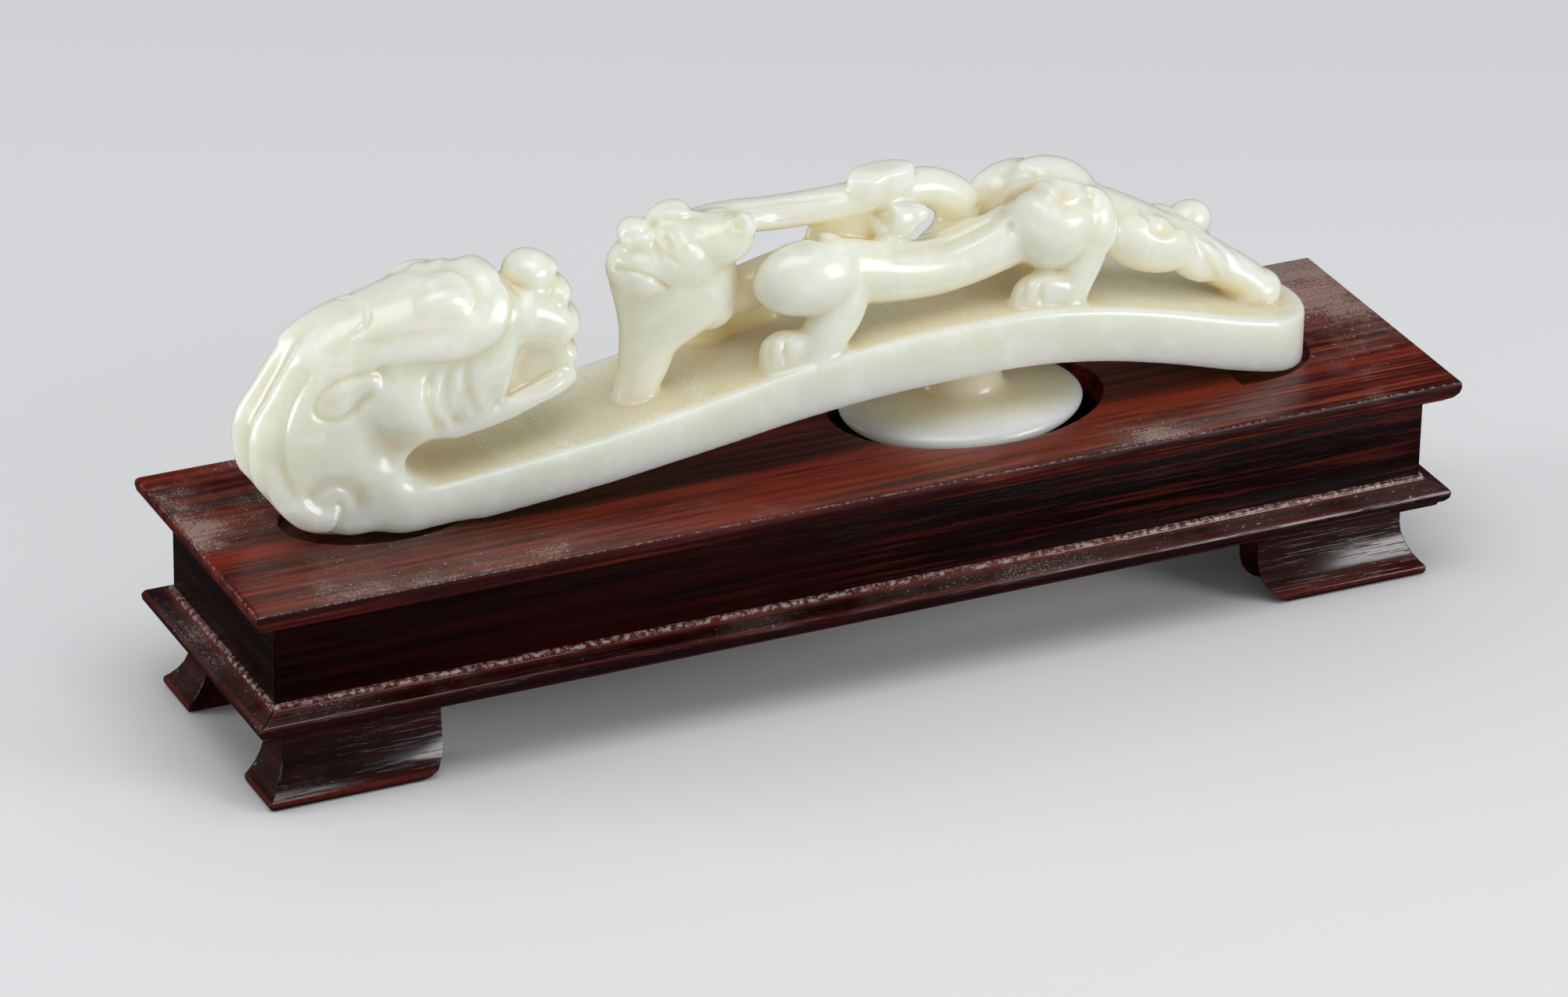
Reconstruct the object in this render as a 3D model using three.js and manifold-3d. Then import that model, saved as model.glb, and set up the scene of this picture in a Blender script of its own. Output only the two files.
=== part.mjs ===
// Jade belt hook lying on its fitted hardwood stand.
// Millimetres, +Z up. The origin is on the floor under the middle of the stand.
// +X runs from the dragon's head, at the left, to the tail of the plate.

import * as THREE from 'three';
import { mergeVertices } from 'three/addons/utils/BufferGeometryUtils.js';
import Module from 'manifold-3d';

// Stand: overall sizes and the heights of its courses
const standLength = 140;
const standDepth = 34.8;
const boardThickness = 3.3;
const friezeHeight = 8.8;
const railHeight = 3.4;
const footHeight = 8.7;

// Stand: insets from the board's edge, and wood thicknesses
const friezeInset = 3;
const friezeThickness = 2.6;
const railInset = 0.3;
const railWidth = 8.2;
const footToeInset = 2;
const footNeckInset = 4.3;
const footThickness = 4;
const longFootLength = 22;
const longFootEndRadius = 4;
const shortFootLength = 9.4;
const shortFootEndRadius = 0.6;
const mitreGap = 0.1;

// Stand: the seats and the button hole in the board
const seatDepth = 1.2;
const seatClearance = 0.3;
const headSeatMargin = 1;
const tailSeatLength = 11.6;
const tailSeatMargin = 0.7;
const holeClearanceX = 2;
const holeClearanceY = 0.7;
const holeShift = 0.5;

// Hook: the plate
const hookLength = 123.2;
const hookShift = -3.2;
const plateWidth = 16.6;
const plateThickness = 6.2;
const plateEdgeRadius = 1.4;
const archRise = 7.5;
const neckWidth = 12.4;

// Hook: the button under the plate
const buttonLength = 27.4;
const buttonWidth = 21.8;
const buttonThickness = 4.7;
const beltGap = 4.9;
const stemLength = 8.6;
const stemWidth = 7;

// Hook: the dragon's head and neck
const headLength = 37.5;
const headHeight = 30;
const throatGap = 4.7;
const spineGrooveRadius = 1.3;

// Hook: the young dragon in openwork on the plate
const dragonHeight = 22;

// One overrun serves all cuts and all roots that run into the plate
const overrun = 1;

// Shares and counts of the forms
const ringSides = 12;
const headSides = 16;
const limbSides = 10;
const grooveSides = 8;
const limbSteps = 9;
const grooveSteps = 12;
const buttonSides = 32;
const holeSides = 48;
const seatSides = 24;
const ballDetail = 2;
const buttonPlaceShare = 0.672;

// Powers of the rounded-box sections: 2 is an ellipse, and higher powers are squarer
const ovalPower = 2;
const neckPower = 2.6;
const skullPower = 2.3;
const jawPower = 3.2;
const mouthPower = 2.8;
const tailPower = 2.4;

const boardTop = boardThickness + friezeHeight + railHeight + footHeight;
const hookLeft = hookShift - hookLength / 2;
const hookBase = boardTop - seatDepth + seatClearance;

const wasm = await Module();
wasm.setup();

// Solids from closed meshes, and back

function solidFrom(geometry) {
  geometry.deleteAttribute('normal');
  geometry.deleteAttribute('uv');
  const merged = mergeVertices(geometry);
  const position = merged.getAttribute('position');
  const solid = new wasm.Manifold(new wasm.Mesh({
    numProp: 3,
    vertProperties: new Float32Array(position.array),
    triVerts: new Uint32Array(merged.index.array),
  }));
  return solid;
}

function geometryFrom(solid) {
  const mesh = solid.getMesh();
  const geometry = new THREE.BufferGeometry();
  const points = [];
  for (let i = 0; i < mesh.numVert; i += 1) {
    const at = i * mesh.numProp;
    points.push(mesh.vertProperties[at], mesh.vertProperties[at + 1], mesh.vertProperties[at + 2]);
  }
  geometry.setAttribute('position', new THREE.Float32BufferAttribute(points, 3));
  geometry.setIndex(Array.from(mesh.triVerts));
  geometry.computeVertexNormals();
  return geometry;
}

function outward(points, triangles) {
  let volume = 0;
  for (const [a, b, c] of triangles) {
    volume += points[a].dot(points[b].clone().cross(points[c]));
  }
  return volume < 0 ? triangles.map(([a, b, c]) => [a, c, b]) : triangles;
}

function geometryOf(points, triangles) {
  const geometry = new THREE.BufferGeometry();
  geometry.setFromPoints(points);
  geometry.setIndex(outward(points, triangles).flat());
  geometry.computeVertexNormals();
  return geometry;
}

// A closed skin over rings with the same number of points, with a fan on each end ring
function skin(rings) {
  const sides = rings[0].length;
  const points = rings.flat();
  const triangles = [];
  for (let ring = 0; ring < rings.length - 1; ring += 1) {
    for (let side = 0; side < sides; side += 1) {
      const a = ring * sides + side;
      const b = ring * sides + (side + 1) % sides;
      triangles.push([a, b, b + sides], [a, b + sides, a + sides]);
    }
  }
  const ends = [[rings[0], 0, true], [rings[rings.length - 1], (rings.length - 1) * sides, false]];
  for (const [ring, start, reversed] of ends) {
    const hub = points.length;
    const middle = ring.reduce((sum, p) => sum.add(p), new THREE.Vector3()).divideScalar(sides);
    points.push(middle);
    for (let side = 0; side < sides; side += 1) {
      const a = start + side;
      const b = start + (side + 1) % sides;
      triangles.push(reversed ? [hub, b, a] : [hub, a, b]);
    }
  }
  return geometryOf(points, triangles);
}

// A table of rows, each a share along and its value, read as a smooth curve
function shareAt(table, along) {
  let row = 0;
  while (row < table.length - 2 && along > table[row + 1][0]) row += 1;
  const [x0, y0] = table[row];
  const [x1, y1] = table[row + 1];
  const before = table[Math.max(row - 1, 0)];
  const after = table[Math.min(row + 2, table.length - 1)];
  const slope0 = (y1 - before[1]) / (x1 - before[0]);
  const slope1 = (after[1] - y0) / (after[0] - x0);
  const t = THREE.MathUtils.clamp((along - x0) / (x1 - x0), 0, 1);
  const blend = t * t * (3 - 2 * t);
  const lean0 = t * (1 - t) * (1 - t) * slope0;
  const lean1 = t * t * (1 - t) * slope1;
  return y0 + (y1 - y0) * blend + (lean0 - lean1) * (x1 - x0);
}

// A rounded-box ring round a centre, with its two half axes
function ovalRing(centre, across, up, power, sides = ringSides) {
  const ring = [];
  for (let side = 0; side < sides; side += 1) {
    const angle = (side + 0.5) * 2 * Math.PI / sides;
    const c = Math.cos(angle);
    const s = Math.sin(angle);
    const u = Math.sign(c) * Math.abs(c) ** (2 / power);
    const v = Math.sign(s) * Math.abs(s) ** (2 / power);
    ring.push(centre.clone().addScaledVector(across, u).addScaledVector(up, v));
  }
  return ring;
}

// Stand: a length of moulding with a mitre at each end, or a mitre and a rounded end.
// The section's points are pairs of an inset from the board's edge and a height.
function mouldingGeometry(section, halfLength, halfDepth, endAt) {
  const points = [];
  for (const [inset, height] of section) {
    const y = inset - halfDepth;
    const mitre = halfLength - inset - mitreGap / 2;
    points.push(new THREE.Vector3(-mitre, y, height));
    points.push(new THREE.Vector3(endAt ? endAt(height) : mitre, y, height));
  }
  const triangles = [];
  for (let i = 0; i < section.length; i += 1) {
    const a = 2 * i;
    const b = 2 * ((i + 1) % section.length);
    triangles.push([a, b, b + 1], [a, b + 1, a + 1]);
  }
  const contour = section.map(([inset, height]) => new THREE.Vector2(inset, height));
  const faces = THREE.ShapeUtils.triangulateShape(contour, []);
  const turned = THREE.ShapeUtils.isClockWise(contour);
  for (const [a, b, c] of faces) {
    const face = [2 * a, 2 * b, 2 * c];
    triangles.push(turned ? face : [face[0], face[2], face[1]]);
    const far = [2 * a + 1, 2 * c + 1, 2 * b + 1];
    triangles.push(turned ? far : [far[0], far[2], far[1]]);
  }
  return geometryOf(points, triangles);
}

// A section from its outer edge, as pairs of an inset and a height, down a straight back
function backedSection(outer, backInset) {
  const back = outer.map(([, height]) => [backInset, height]).reverse();
  return [...outer, ...back];
}

function friezeSection() {
  const foot = footHeight + railHeight;
  return backedSection([[friezeInset, foot + friezeHeight], [friezeInset, foot]],
    friezeInset + friezeThickness);
}

// The rail: a fine bead at the frieze's foot, a hollow slope and a round lower bead
const railEdgeShares = [
  [0.93, 1], [0.82, 0.96], [0.82, 0.86], [0.66, 0.78], [0.36, 0.7], [0.1, 0.66],
  [0, 0.52], [0.03, 0.36], [0.16, 0.22], [0.38, 0.12], [0.42, 0],
];

function railSection() {
  const reach = friezeInset - railInset;
  const outer = railEdgeShares.map(([inShare, upShare]) =>
    [railInset + reach * inShare, footHeight + railHeight * upShare]);
  return backedSection(outer, railInset + railWidth);
}

// The foot: an upright neck, a hollow flare and a rounded toe
const footEdgeShares = [
  [1, 1], [1, 0.68], [0.93, 0.54], [0.76, 0.4], [0.5, 0.27], [0.2, 0.17], [0, 0.12],
  [0, 0.06], [0.08, 0.02], [0.22, 0],
];

function footSection() {
  const flare = footNeckInset - footToeInset;
  const outer = footEdgeShares.map(([inShare, upShare]) =>
    [footToeInset + flare * inShare, footHeight * upShare]);
  return backedSection(outer, footNeckInset + footThickness);
}

// A foot's free end stands upright and turns under in a quarter round
function footEnd(halfLength, length, radius) {
  return (height) => {
    const low = Math.max(radius - height, 0);
    const drawn = radius - Math.sqrt(radius ** 2 - low ** 2);
    return length - halfLength - drawn;
  };
}

// Stand: the board, with a fine arris on top and a bullnose that tucks under to the frieze
const boardEdgeShares = [
  [0.14, 0], [0.02, 0.09], [0, 0.26], [0.05, 0.46], [0.2, 0.66], [0.48, 0.84], [0.84, 0.96],
  [1, 1],
];

function boardBlank() {
  const rings = boardEdgeShares.map(([inShare, downShare]) => {
    const x = standLength / 2 - friezeInset * inShare;
    const y = standDepth / 2 - friezeInset * inShare;
    const z = boardTop - boardThickness * downShare;
    return [[-x, -y], [x, -y], [x, y], [-x, y]].map(([px, py]) => new THREE.Vector3(px, py, z));
  });
  return solidFrom(skin(rings));
}

function levelOval(x, y, z, halfX, halfY, sides) {
  return ovalRing(new THREE.Vector3(x, y, z), new THREE.Vector3(halfX, 0, 0),
    new THREE.Vector3(0, halfY, 0), ovalPower, sides);
}

function uprightOval(x, halfX, halfY, low, high, sides) {
  return solidFrom(skin([low, high].map((z) => levelOval(x, 0, z, halfX, halfY, sides))));
}

// The tail's seat follows the plate's round end, a margin outside it
function tailSeatSolid(low, high) {
  const half = plateWidth / 2 + tailSeatMargin;
  const end = hookLeft + hookLength + tailSeatMargin;
  const outline = [[end - tailSeatLength, -half]];
  for (let i = 0; i <= seatSides; i += 1) {
    const y = -half * Math.cos(i / seatSides * Math.PI);
    const drawn = (1 - Math.abs(y / half) ** tailPower) ** (1 / ovalPower);
    outline.push([end - half + half * drawn, y]);
  }
  outline.push([end - tailSeatLength, half]);
  const rings = [low, high].map((z) => outline.map(([x, y]) => new THREE.Vector3(x, y, z)));
  return solidFrom(skin(rings));
}

function boardGeometry() {
  const buttonX = hookX(buttonPlaceShare);
  const floor = boardTop - seatDepth;
  const over = boardTop + overrun;
  const hole = uprightOval(buttonX + holeShift, buttonLength / 2 + holeClearanceX,
    buttonWidth / 2 + holeClearanceY, boardTop - boardThickness - overrun, over, holeSides);
  const headSeatHalf = neckWidth / 2 + headSeatMargin;
  const headSeat = uprightOval(hookLeft + headSeatPlaceShare * headLength,
    headSeatLengthShare * headLength, headSeatHalf, floor, over, seatSides);
  const board = boardBlank().subtract(hole).subtract(headSeat);
  return geometryFrom(board.subtract(tailSeatSolid(floor, over)));
}

// The head's seat in the board, in shares of the head's length from the neck's back
const headSeatPlaceShare = 0.408;
const headSeatLengthShare = 0.293;

// Hook: the plate's underside, as shares of its length and of the arch's rise
const archShares = [
  [0, 0], [0.08, 0], [0.18, 0.14], [0.25, 0.29], [0.33, 0.47], [0.41, 0.65], [0.49, 0.84],
  [0.57, 0.96], [0.65, 1], [0.714, 0.98], [0.778, 0.84], [0.842, 0.6], [0.906, 0.3],
  [0.954, 0.12], [1, 0],
];

// The plate's thickness is full from the button to the tail, and less towards the neck
const thicknessShares = [[0, 0.8], [0.2, 0.82], [0.35, 0.87], [0.5, 0.95], [0.65, 1], [1, 1]];

// Its edges are soft by the neck and crisp over the button and the tail
const edgeShares = [[0, 1], [0.3, 0.9], [0.5, 0.4], [0.65, 0.3], [1, 0.3]];

function hookX(alongShare) {
  return hookLeft + hookLength * alongShare;
}

function plateUnderside(alongShare) {
  return hookBase + archRise * shareAt(archShares, alongShare);
}

function plateTop(alongShare) {
  return plateUnderside(alongShare) + plateThickness * shareAt(thicknessShares, alongShare);
}

// The plate narrows to the neck at its left end and is round at its tail
const plateStartShare = 0.08;
const plateRootShare = 0.13;
const plateShoulderShare = 0.34;
const rootTuckShare = 0.25;
const rootWidthShare = 0.6;
const plateSteps = 26;
const tailSteps = 6;

function plateHalfWidth(alongShare) {
  const shoulder = THREE.MathUtils.smoothstep(alongShare, plateStartShare, plateShoulderShare);
  const full = THREE.MathUtils.lerp(neckWidth, plateWidth, shoulder) / 2;
  const fromTail = hookLength * (1 - alongShare);
  const turn = Math.max(1 - fromTail / (plateWidth / 2), 0);
  return full * Math.max(1 - turn ** tailPower, 0) ** (1 / ovalPower);
}

function plateSolid() {
  const roundShare = plateWidth / 2 / hookLength;
  const shares = [];
  for (let i = 0; i < plateSteps; i += 1) {
    shares.push(THREE.MathUtils.lerp(plateStartShare, 1 - roundShare, i / plateSteps));
  }
  for (let i = 0; i <= tailSteps; i += 1) {
    shares.push(1 - roundShare * (1 - Math.sin(i / tailSteps * Math.PI / 2)));
  }
  const rings = shares.map((share) => {
    const root = THREE.MathUtils.smoothstep(share, plateStartShare, plateRootShare);
    const low = plateUnderside(share) + plateThickness * rootTuckShare * (1 - root);
    const high = plateTop(share);
    const radius = plateEdgeRadius * shareAt(edgeShares, share);
    const rooted = plateHalfWidth(share) * THREE.MathUtils.lerp(rootWidthShare, 1, root);
    const half = Math.max(rooted, radius);
    const edge = Math.min(radius, half / 2);
    const corners = [
      [-half + edge, low], [half - edge, low], [half, low + edge], [half, high - edge],
      [half - edge, high], [-half + edge, high], [-half, high - edge], [-half, low + edge],
    ];
    return corners.map(([y, z]) => new THREE.Vector3(hookX(share), y, z));
  });
  return solidFrom(skin(rings));
}

// Hook: the oval button, a lens on a short stem that flares into the plate.
// Rows are shares of the half width outwards and of the button's thickness upwards.
const lensShares = [
  [0.35, 0.02], [0.62, 0.1], [0.82, 0.24], [0.95, 0.42], [1, 0.6], [0.97, 0.74], [0.88, 0.84],
  [0.7, 0.93], [0.5, 0.98], [0.36, 1],
];

// Rows are shares of the belt's gap upwards and of the stem's half width
const stemShares = [[0.12, 1], [0.8, 1], [1.2, 1.2]];

function buttonSolid() {
  const x = hookX(buttonPlaceShare);
  const under = plateUnderside(buttonPlaceShare);
  const top = under - beltGap;
  const bottom = top - buttonThickness;
  const lens = lensShares.map(([outShare, upShare]) => levelOval(x, 0,
    bottom + buttonThickness * upShare, buttonLength / 2 * outShare,
    buttonWidth / 2 * outShare, buttonSides));
  const stem = stemShares.map(([upShare, wideShare]) => levelOval(x, 0,
    top + beltGap * upShare, stemLength / 2 * wideShare, stemWidth / 2 * wideShare,
    buttonSides));
  return solidFrom(skin([...lens, ...stem]));
}

// Hook: the dragon's head and neck.
// A place is a share of the head's length, of half the neck's width and of the head's height.
function headPlace([alongShare, sideShare, upShare]) {
  return new THREE.Vector3(hookLeft + headLength * alongShare, neckWidth / 2 * sideShare,
    hookBase + headHeight * upShare);
}

// Upright sections along the head: along, underside, top, half width
function uprightLoft(rowShares, power) {
  const rings = rowShares.map(([alongShare, lowShare, highShare, halfShare]) => {
    const centre = headPlace([alongShare, 0, (lowShare + highShare) / 2]);
    const across = new THREE.Vector3(0, neckWidth / 2 * halfShare, 0);
    const up = new THREE.Vector3(0, 0, headHeight * (highShare - lowShare) / 2);
    return ovalRing(centre, across, up, power, headSides);
  });
  return solidFrom(skin(rings));
}

// The neck turns over from the plate up to the crown
const neckShares = [
  [0, 0.31, 0.445, 0.42], [0.016, 0.247, 0.5, 0.64], [0.048, 0.2, 0.56, 0.82],
  [0.101, 0.11, 0.648, 0.93], [0.168, 0.035, 0.738, 0.98], [0.261, 0, 0.8, 1],
  [0.368, 0.005, 0.85, 1], [0.435, 0.017, 0.87, 0.97], [0.475, 0.043, 0.84, 0.9],
];

// The skull, from the cheek to the upper lip
const skullShares = [
  [0.288, 0.35, 0.815, 0.9], [0.41, 0.33, 0.87, 1], [0.53, 0.33, 0.905, 1.02],
  [0.635, 0.34, 0.925, 1], [0.728, 0.355, 0.912, 0.94], [0.78, 0.585, 0.845, 0.84],
  [0.848, 0.58, 0.825, 0.76], [0.928, 0.575, 0.755, 0.72], [0.98, 0.6, 0.69, 0.5],
];

// The lower jaw under the mouth
const jawShares = [
  [0.5, 0.3, 0.5, 0.92], [0.68, 0.31, 0.465, 0.9], [0.8, 0.35, 0.475, 0.84],
  [0.9, 0.395, 0.495, 0.74], [0.97, 0.43, 0.5, 0.54],
];

// The web of stone left between the two sides of the mouth
const mouthWebShares = [
  [0.7, 0.42, 0.66, 0.42], [0.82, 0.43, 0.66, 0.42], [0.95, 0.45, 0.62, 0.4],
];

// Rounded masses of the head: place, then radii in the same shares, each on both sides
// where its side share isn't zero
const headBallShares = [
  [0.859, 0, 0.84, 0.07, 0.56, 0.083],
  [0.925, 0, 0.745, 0.05, 0.6, 0.06],
  [0.93, 0, 0.64, 0.07, 0.66, 0.075],
  [0.945, 0, 0.465, 0.045, 0.6, 0.045],
  [0.56, 0.6, 0.825, 0.09, 0.26, 0.075],
  [0.445, 0.82, 0.483, 0.075, 0.26, 0.14],
  [0.55, 0.8, 0.52, 0.045, 0.22, 0.09],
  [0.21, 0.86, 0.57, 0.05, 0.18, 0.053],
  [0.232, 0.86, 0.17, 0.05, 0.22, 0.063],
];

// The groove down the spine, just outside the neck's back, as places
const spineGrooveShares = [
  [0.27, 0, 0.86], [0.16, 0, 0.757], [0.075, 0, 0.63], [0.015, 0, 0.49], [-0.012, 0, 0.36],
  [0.005, 0, 0.24], [0.06, 0, 0.11], [0.14, 0, 0.02],
];

function ball(centre, radii) {
  const geometry = new THREE.IcosahedronGeometry(1, ballDetail);
  geometry.scale(radii.x, radii.y, radii.z);
  geometry.translate(centre.x, centre.y, centre.z);
  return solidFrom(geometry);
}

// A row whose side share isn't zero stands on both sides
function mirrored(rows) {
  return rows.flatMap((row) => (row[1] === 0 ? [row] : [row, [row[0], -row[1], ...row.slice(2)]]));
}

function headBalls() {
  return mirrored(headBallShares).map(([along, side, up, length, width, height]) =>
    ball(headPlace([along, side, up]), new THREE.Vector3(headLength * length,
      neckWidth / 2 * width, headHeight * height)));
}

// A tube through hand-chosen places, with oval sections square to its path
function limb(centres, sizes, sides = limbSides, steps = limbSteps) {
  const path = new THREE.CatmullRomCurve3(centres);
  const size = new THREE.CatmullRomCurve3(sizes.map(([w, h]) => new THREE.Vector3(w, h, 0)));
  const rings = [];
  for (let i = 0; i <= steps; i += 1) {
    const t = i / steps;
    const along = path.getTangent(t);
    const side = new THREE.Vector3(0, 1, 0).addScaledVector(along, -along.y).normalize();
    const up = side.clone().cross(along);
    const { x: halfWidth, y: halfHeight } = size.getPoint(t);
    rings.push(ovalRing(path.getPoint(t), side.multiplyScalar(halfWidth),
      up.multiplyScalar(halfHeight), ovalPower, sides));
  }
  return solidFrom(skin(rings));
}

function spineGroove() {
  const sizes = spineGrooveShares.map(() => [spineGrooveRadius, spineGrooveRadius]);
  return limb(spineGrooveShares.map(headPlace), sizes, grooveSides, grooveSteps);
}

// The open throat between the jaw and the plate keeps its named height
function throatCut() {
  const rings = throatShares.map((share) => {
    const z = plateTop(share);
    const half = plateWidth / 2 + overrun;
    return [[-half, z], [half, z], [half, z + throatGap], [-half, z + throatGap]]
      .map(([y, height]) => new THREE.Vector3(hookX(share), y, height));
  });
  return solidFrom(skin(rings));
}

const throatShares = [0.138, 0.17, 0.2, 0.24, 0.3];

// Hook: the young dragon on the plate.
// A place is a share of the hook's length, of half the plate's width, and of the dragon's
// height over the plate's top under it.
function dragonPlace([alongShare, sideShare, upShare]) {
  return new THREE.Vector3(hookX(alongShare), plateWidth / 2 * sideShare,
    plateTop(alongShare) + dragonHeight * upShare);
}

// Rounded masses: place, then radii in shares of the same sizes
const dragonBallShares = {
  skull: [0.394, -0.036, 0.653, 0.051, 0.542, 0.2],
  muzzle: [0.361, -0.072, 0.651, 0.028, 0.458, 0.155],
  brow: [0.367, 0, 0.787, 0.026, 0.41, 0.073],
  crest: [0.399, 0.06, 0.848, 0.019, 0.241, 0.068],
  nape: [0.429, -0.157, 0.683, 0.036, 0.422, 0.136],
  nearEar: [0.446, -0.446, 0.752, 0.013, 0.145, 0.068],
  farEar: [0.442, 0.313, 0.679, 0.013, 0.157, 0.068],
  nearElbow: [0.505, -0.494, 0.395, 0.05, 0.422, 0.2],
  nearPaw: [0.491, -0.687, 0.055, 0.029, 0.229, 0.086],
  farPaw: [0.448, 0.675, 0.041, 0.029, 0.217, 0.073],
  cloudTop: [0.593, -0.024, 0.665, 0.03, 0.349, 0.05],
  cloudLobe: [0.602, -0.217, 0.485, 0.028, 0.265, 0.118],
  cloudRoot: [0.567, 0.024, 0.476, 0.041, 0.241, 0.145],
  nearHaunch: [0.74, -0.422, 0.37, 0.043, 0.47, 0.223],
  farHaunch: [0.732, 0.434, 0.356, 0.047, 0.458, 0.223],
  hip: [0.769, 0.06, 0.486, 0.037, 0.386, 0.145],
  nearHindPaw: [0.734, -0.675, 0.066, 0.032, 0.229, 0.091],
  farHindPaw: [0.734, 0.675, 0.066, 0.032, 0.229, 0.091],
  nearTailCurl: [0.838, -0.41, 0.27, 0.039, 0.325, 0.159],
  farTailCurl: [0.903, 0.361, 0.315, 0.022, 0.277, 0.1],
  tailTip: [0.954, -0.108, 0.045, 0.026, 0.361, 0.1],
};

// Tubes: rows of a place, then the half width and the half height of the section
const dragonLimbShares = {
  farForeleg: [
    [0.419, 0.12, 0.398, 0.386, 0.164], [0.435, 0.361, 0.213, 0.301, 0.118],
    [0.446, 0.578, 0.074, 0.253, 0.1], [0.451, 0.663, -0.058, 0.253, 0.1],
  ],
  neck: [
    [0.412, 0.024, 0.404, 0.361, 0.164], [0.449, 0.096, 0.354, 0.325, 0.136],
    [0.494, 0.096, 0.358, 0.337, 0.145], [0.542, -0.072, 0.37, 0.361, 0.15],
  ],
  body: [
    [0.518, -0.386, 0.395, 0.386, 0.173], [0.575, -0.373, 0.281, 0.373, 0.159],
    [0.633, -0.337, 0.229, 0.373, 0.141], [0.692, -0.301, 0.291, 0.373, 0.15],
    [0.749, -0.193, 0.409, 0.398, 0.159],
  ],
  nearForeleg: [
    [0.542, -0.458, 0.297, 0.337, 0.127], [0.539, -0.566, 0.163, 0.277, 0.1],
    [0.521, -0.663, 0.056, 0.229, 0.086], [0.511, -0.687, -0.06, 0.241, 0.091],
  ],
  nearHindLeg: [
    [0.766, -0.434, 0.414, 0.325, 0.118], [0.773, -0.542, 0.248, 0.253, 0.091],
    [0.76, -0.663, 0.072, 0.217, 0.077], [0.75, -0.687, -0.054, 0.217, 0.082],
  ],
  farHindLeg: [
    [0.766, 0.434, 0.414, 0.325, 0.118], [0.773, 0.542, 0.248, 0.253, 0.091],
    [0.76, 0.663, 0.072, 0.217, 0.077], [0.75, 0.687, -0.054, 0.217, 0.082],
  ],
  tail: [
    [0.765, 0, 0.395, 0.422, 0.159], [0.823, 0, 0.327, 0.373, 0.136],
    [0.875, 0.012, 0.247, 0.337, 0.118], [0.92, -0.024, 0.149, 0.349, 0.109],
    [0.951, -0.084, 0.065, 0.337, 0.1], [0.959, -0.108, -0.058, 0.337, 0.091],
  ],
  mane: [
    [0.408, 0.072, 0.74, 0.265, 0.077], [0.448, 0.133, 0.7, 0.289, 0.077],
    [0.498, 0.133, 0.636, 0.301, 0.077], [0.549, 0.096, 0.607, 0.301, 0.077],
    [0.597, 0.096, 0.6, 0.289, 0.077],
  ],
  loop: [
    [0.596, 0.096, 0.605, 0.265, 0.077], [0.643, 0.193, 0.555, 0.253, 0.082],
    [0.672, 0.229, 0.431, 0.253, 0.086], [0.662, 0.145, 0.295, 0.265, 0.086],
    [0.636, -0.024, 0.238, 0.265, 0.086],
  ],
};

// The chest and the one foreleg under it, as level sections down to the plate
const chestShares = [
  [0.392, -0.024, 0.646, 0.434, 0.3], [0.394, -0.024, 0.553, 0.47, 0.323],
  [0.397, -0.036, 0.432, 0.47, 0.314], [0.394, -0.048, 0.334, 0.446, 0.282],
  [0.383, -0.06, 0.272, 0.398, 0.214], [0.37, -0.084, 0.211, 0.337, 0.145],
  [0.364, -0.108, 0.116, 0.289, 0.127], [0.356, -0.133, 0.006, 0.277, 0.105],
  [0.355, -0.133, -0.066, 0.313, 0.114],
];

function chestSolid() {
  const rings = chestShares.map(([along, side, up, width, length]) => {
    const { x, y, z } = dragonPlace([along, side, up]);
    return levelOval(x, y, z, dragonHeight * length, plateWidth / 2 * width, ringSides);
  });
  return solidFrom(skin(rings));
}

function dragonSolids() {
  const balls = Object.values(dragonBallShares).map(([along, side, up, length, width, height]) =>
    ball(dragonPlace([along, side, up]), new THREE.Vector3(hookLength * length,
      plateWidth / 2 * width, dragonHeight * height)));
  const limbs = Object.values(dragonLimbShares).map((rows) => limb(rows.map(dragonPlace),
    rows.map(([, , , width, height]) => [plateWidth / 2 * width, dragonHeight * height])));
  return [...balls, ...limbs, chestSolid()];
}

function hookGeometry() {
  const neck = uprightLoft(neckShares, neckPower);
  const skull = uprightLoft(skullShares, skullPower);
  const jaw = uprightLoft(jawShares, jawPower);
  const mouthWeb = uprightLoft(mouthWebShares, mouthPower);
  const head = [neck, skull, jaw, mouthWeb, ...headBalls()].reduce((sum, solid) => sum.add(solid));
  const shaped = head.subtract(spineGroove()).subtract(throatCut());
  const forms = [plateSolid(), buttonSolid(), shaped, ...dragonSolids()];
  return geometryFrom(forms.reduce((sum, solid) => sum.add(solid)));
}

// The finishes, from the photograph
function jade() {
  return new THREE.MeshStandardMaterial({ color: 0xd6d8c0, roughness: 0.28, metalness: 0 });
}

function hardwood(color) {
  return new THREE.MeshStandardMaterial({ color, roughness: 0.35, metalness: 0 });
}

const boardColor = 0x3a1613;
const friezeColor = 0x241110;
const railColor = 0x2c1412;
const footColor = 0x33181a;

function named(name, geometry, material, turn = 0) {
  const mesh = new THREE.Mesh(geometry, material);
  mesh.name = name;
  mesh.rotation.z = turn;
  return mesh;
}

// The four sides: name, quarter turns, half length along the side, half depth across it
const sides = [
  ['front', 0, standLength / 2, standDepth / 2],
  ['right', 1, standDepth / 2, standLength / 2],
  ['back', 2, standLength / 2, standDepth / 2],
  ['left', 3, standDepth / 2, standLength / 2],
];

function standGroup() {
  const group = new THREE.Group();
  group.add(named('top_board', boardGeometry(), hardwood(boardColor)));
  for (const [side, quarters, halfLength, halfDepth] of sides) {
    const turn = quarters * Math.PI / 2;
    const frieze = mouldingGeometry(friezeSection(), halfLength, halfDepth);
    const rail = mouldingGeometry(railSection(), halfLength, halfDepth);
    group.add(named(`${side}_frieze`, frieze, hardwood(friezeColor), turn));
    group.add(named(`${side}_base_rail`, rail, hardwood(railColor), turn));
  }
  return group;
}

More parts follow.
